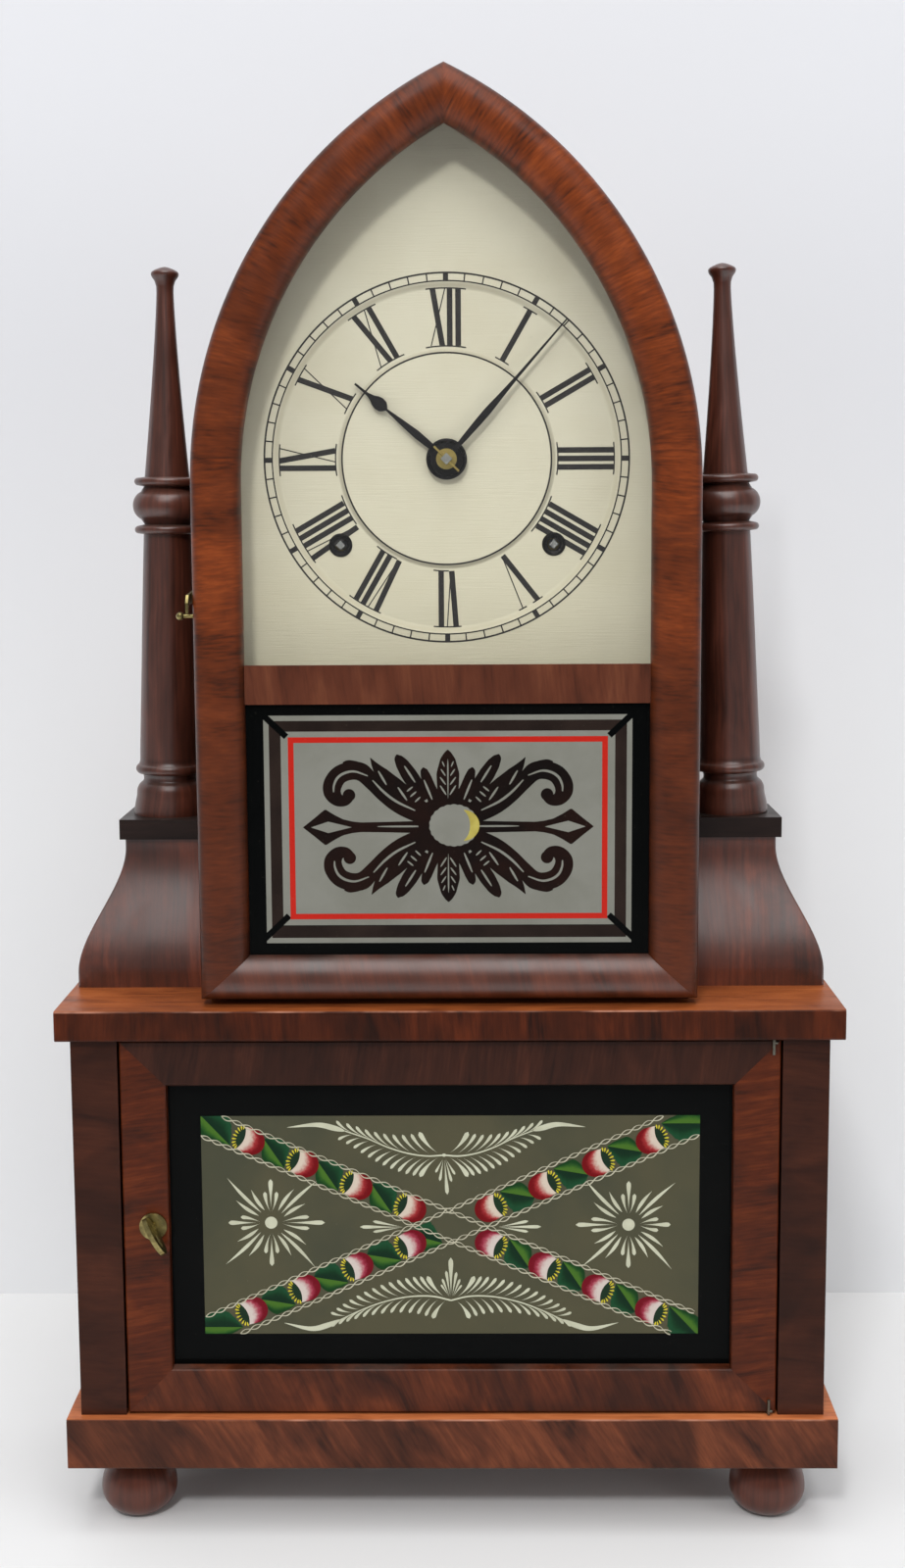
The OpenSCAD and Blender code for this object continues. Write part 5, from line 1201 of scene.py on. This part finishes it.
def board(name, veneer, topVeneer, figure, offset, slant, z1):
    # Veneer on the front and ends, bare orange wood on top, and a thin pale line along the
    # upper front edge, broken by noise.
    material, shader = newMaterial(name, Specular_IOR_Level=0.16)
    front = veneerWood(grainVector("z", offset, slant), veneer, figure)
    top = veneerWood(grainVector("x", offset + 4), topVeneer, (0.6, 0.6, 0.0, 0.2))
    place = objectPlace()
    y, z = axesOf(place)[1:3]
    colour = blend(smooth(facingUp(), 0.75, 0.95), front["Color"], top["Color"])
    line = times(smooth(z, z1 / 1000 - 0.0009, z1 / 1000 - 0.0006),
        smooth(y, frontY / 1000 + 0.0009, frontY / 1000 + 0.0006),
        smooth(noise(place, 24.0, 3, 0.6), 0.4, 0.6))
    edged = useGroup("edge", {"Color": colour, "Worn": tint(186, 130, 106), "Mask": line,
        "Dust": 0.0})
    finishShader(shader, edged["Color"], front["Height"], 0.1, 0.0002,
        Roughness=maths("MULTIPLY_ADD", front["Gloss"], 0.12, 0.32))
    return material


finishes["middleBoard"] = board("middle board", "board", "solid", (0.45, 0.7, 0.2, 0.5), 1.3, 4,
    249.5)
# The base board's top takes the lighter, painted-light copy.
finishes["baseBoard"] = board("base board", "base", "baseTopLit", (0.35, 0.62, 0.15, 0.5), 5.5, 34,
    57.5)
print("stage: boards")

dress = {
    "baseBoard": "base_board", "middleBoard": "middle_board", "dial": "dial_plate",
    "stile": "case_stile_left case_stile_right", "side": "box_side_left box_side_right",
    "arch": "arch_side_left arch_side_right", "pine": "box_back upper_back dial_battens",
    "lowerTop": "lower_door_top_rail", "lowerBottom": "lower_door_bottom_rail",
    "lowerStile": "lower_door_left_stile lower_door_right_stile",
    "shelf": "column_shelf_left column_shelf_right", "middleRail": "door_middle_rail",
    "blackPaint": "lower_tablet middle_tablet", "glass": "dial_glass",
    "wire": "lower_door_pins", "gong": "gong", "hand": "hour_hand minute_hand",
    "brass": "catch_plate catch_turn case_hinge_leaves door_hinge_leaves latch_pin latch_hook",
    "steel": "going_winding_arbor strike_winding_arbor going_mainspring strike_mainspring "
             "verge pendulum_rod"}
finishOf = {node: finish for finish, nodes in dress.items() for node in nodes.split()}
for nodeName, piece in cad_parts.items():
    for place in piece.material_slots:
        place.material = finishes[finishOf.get(nodeName, "cleanBrass")]
print("stage: CAD nodes dressed,", len(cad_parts))

room = {"wallY": 298.0, "floorNear": tint(230, 230, 230), "floorFarShade": tint(158, 158, 160),
    "floorSpan": (-350, -1300), "wallLow": tint(226, 227, 229), "wallTopShade": tint(211, 212, 216),
    "wallSpan": (250, 620), "ambient": 0.27}


def stageSheet(name, corners, near, far, axis, span, oneSided):
    # A plain sheet whose colour drifts from near to far over a span along one axis.
    mesh = bpy.data.meshes.new(name)
    mesh.from_pydata([tuple(c) for c in toScene(corners)], [], [(0, 1, 2, 3)])
    material, shader = newMaterial(name, Roughness=0.9, Specular_IOR_Level=0.1)
    drift = smooth(axesOf(objectPlace())[axis], span[0] / 1000, span[1] / 1000)
    feed(shader, {"Base Color": blend(drift, near, far)})
    if oneSided:  # seen from behind it is clear, so the clock's back can be looked at
        clearWhere(put("NewGeometry").outputs["Backfacing"], shader)
    mesh.materials.append(material)
    sheet = bpy.data.objects.new(name, mesh)
    bpy.context.scene.collection.objects.link(sheet)


# The floor darkens away in front of the clock: painted shade of the dark room in front.
stageSheet("floor", [(-6000, -6000, 0), (6000, -6000, 0), (6000, 6000, 0), (-6000, 6000, 0)],
    room["floorNear"], room["floorFarShade"], 1, room["floorSpan"], False)
# The backdrop darkens towards its top: painted shade, the light falling off upwards.
stageSheet("backdrop", [(-2500, room["wallY"], 0), (2500, room["wallY"], 0),
    (2500, room["wallY"], 2600), (-2500, room["wallY"], 2600)], room["wallLow"], room["wallTopShade"],
    2, room["wallSpan"], True)

lamps = {  # place, aim, size and strength of each soft lamp
    "keyLamp": ((-290, -1732, 1573), (0, 60, 330), (240, 200), 17.5),
    "frontLamp": ((0, -1506, 1910), (0, 60, 330), (1485, 810), 12),
    "rightLamp": ((1300, -900, 700), (0, 60, 300), (800, 900), 5),
    "leftLamp": ((-1300, -900, 700), (0, 60, 300), (800, 900), 4),
    "topLamp": ((0, -494, 2190), (0, 60, 300), (1485, 1215), 18.2),
}
for lampName, (place, aim, size, watts) in lamps.items():
    lamp = bpy.data.lights.new(lampName, "AREA")
    lamp.shape = "RECTANGLE"
    lamp.size, lamp.size_y = size[0] / 1000, size[1] / 1000
    lamp.energy = watts
    lit = bpy.data.objects.new(lampName, lamp)
    lit.visible_glossy = lampName in ("frontLamp", "topLamp")
    ahead = toScene(aim) - toScene(place)
    ahead /= np.linalg.norm(ahead)
    right = np.cross(ahead, [0, 0, 1])
    right /= np.linalg.norm(right)
    placeAt(lit, place, right, np.cross(right, ahead), -ahead)

world = bpy.data.worlds.new("studio")
world.use_nodes = True
graph["tree"] = world.node_tree
feed(world.node_tree.nodes["Background"], {"Color": (0.98, 0.99, 1.0, 1.0),
    "Strength": room["ambient"]})
bpy.context.scene.world = world
bpy.context.scene.view_settings.view_transform = "Standard"
print("stage: room and lamps")
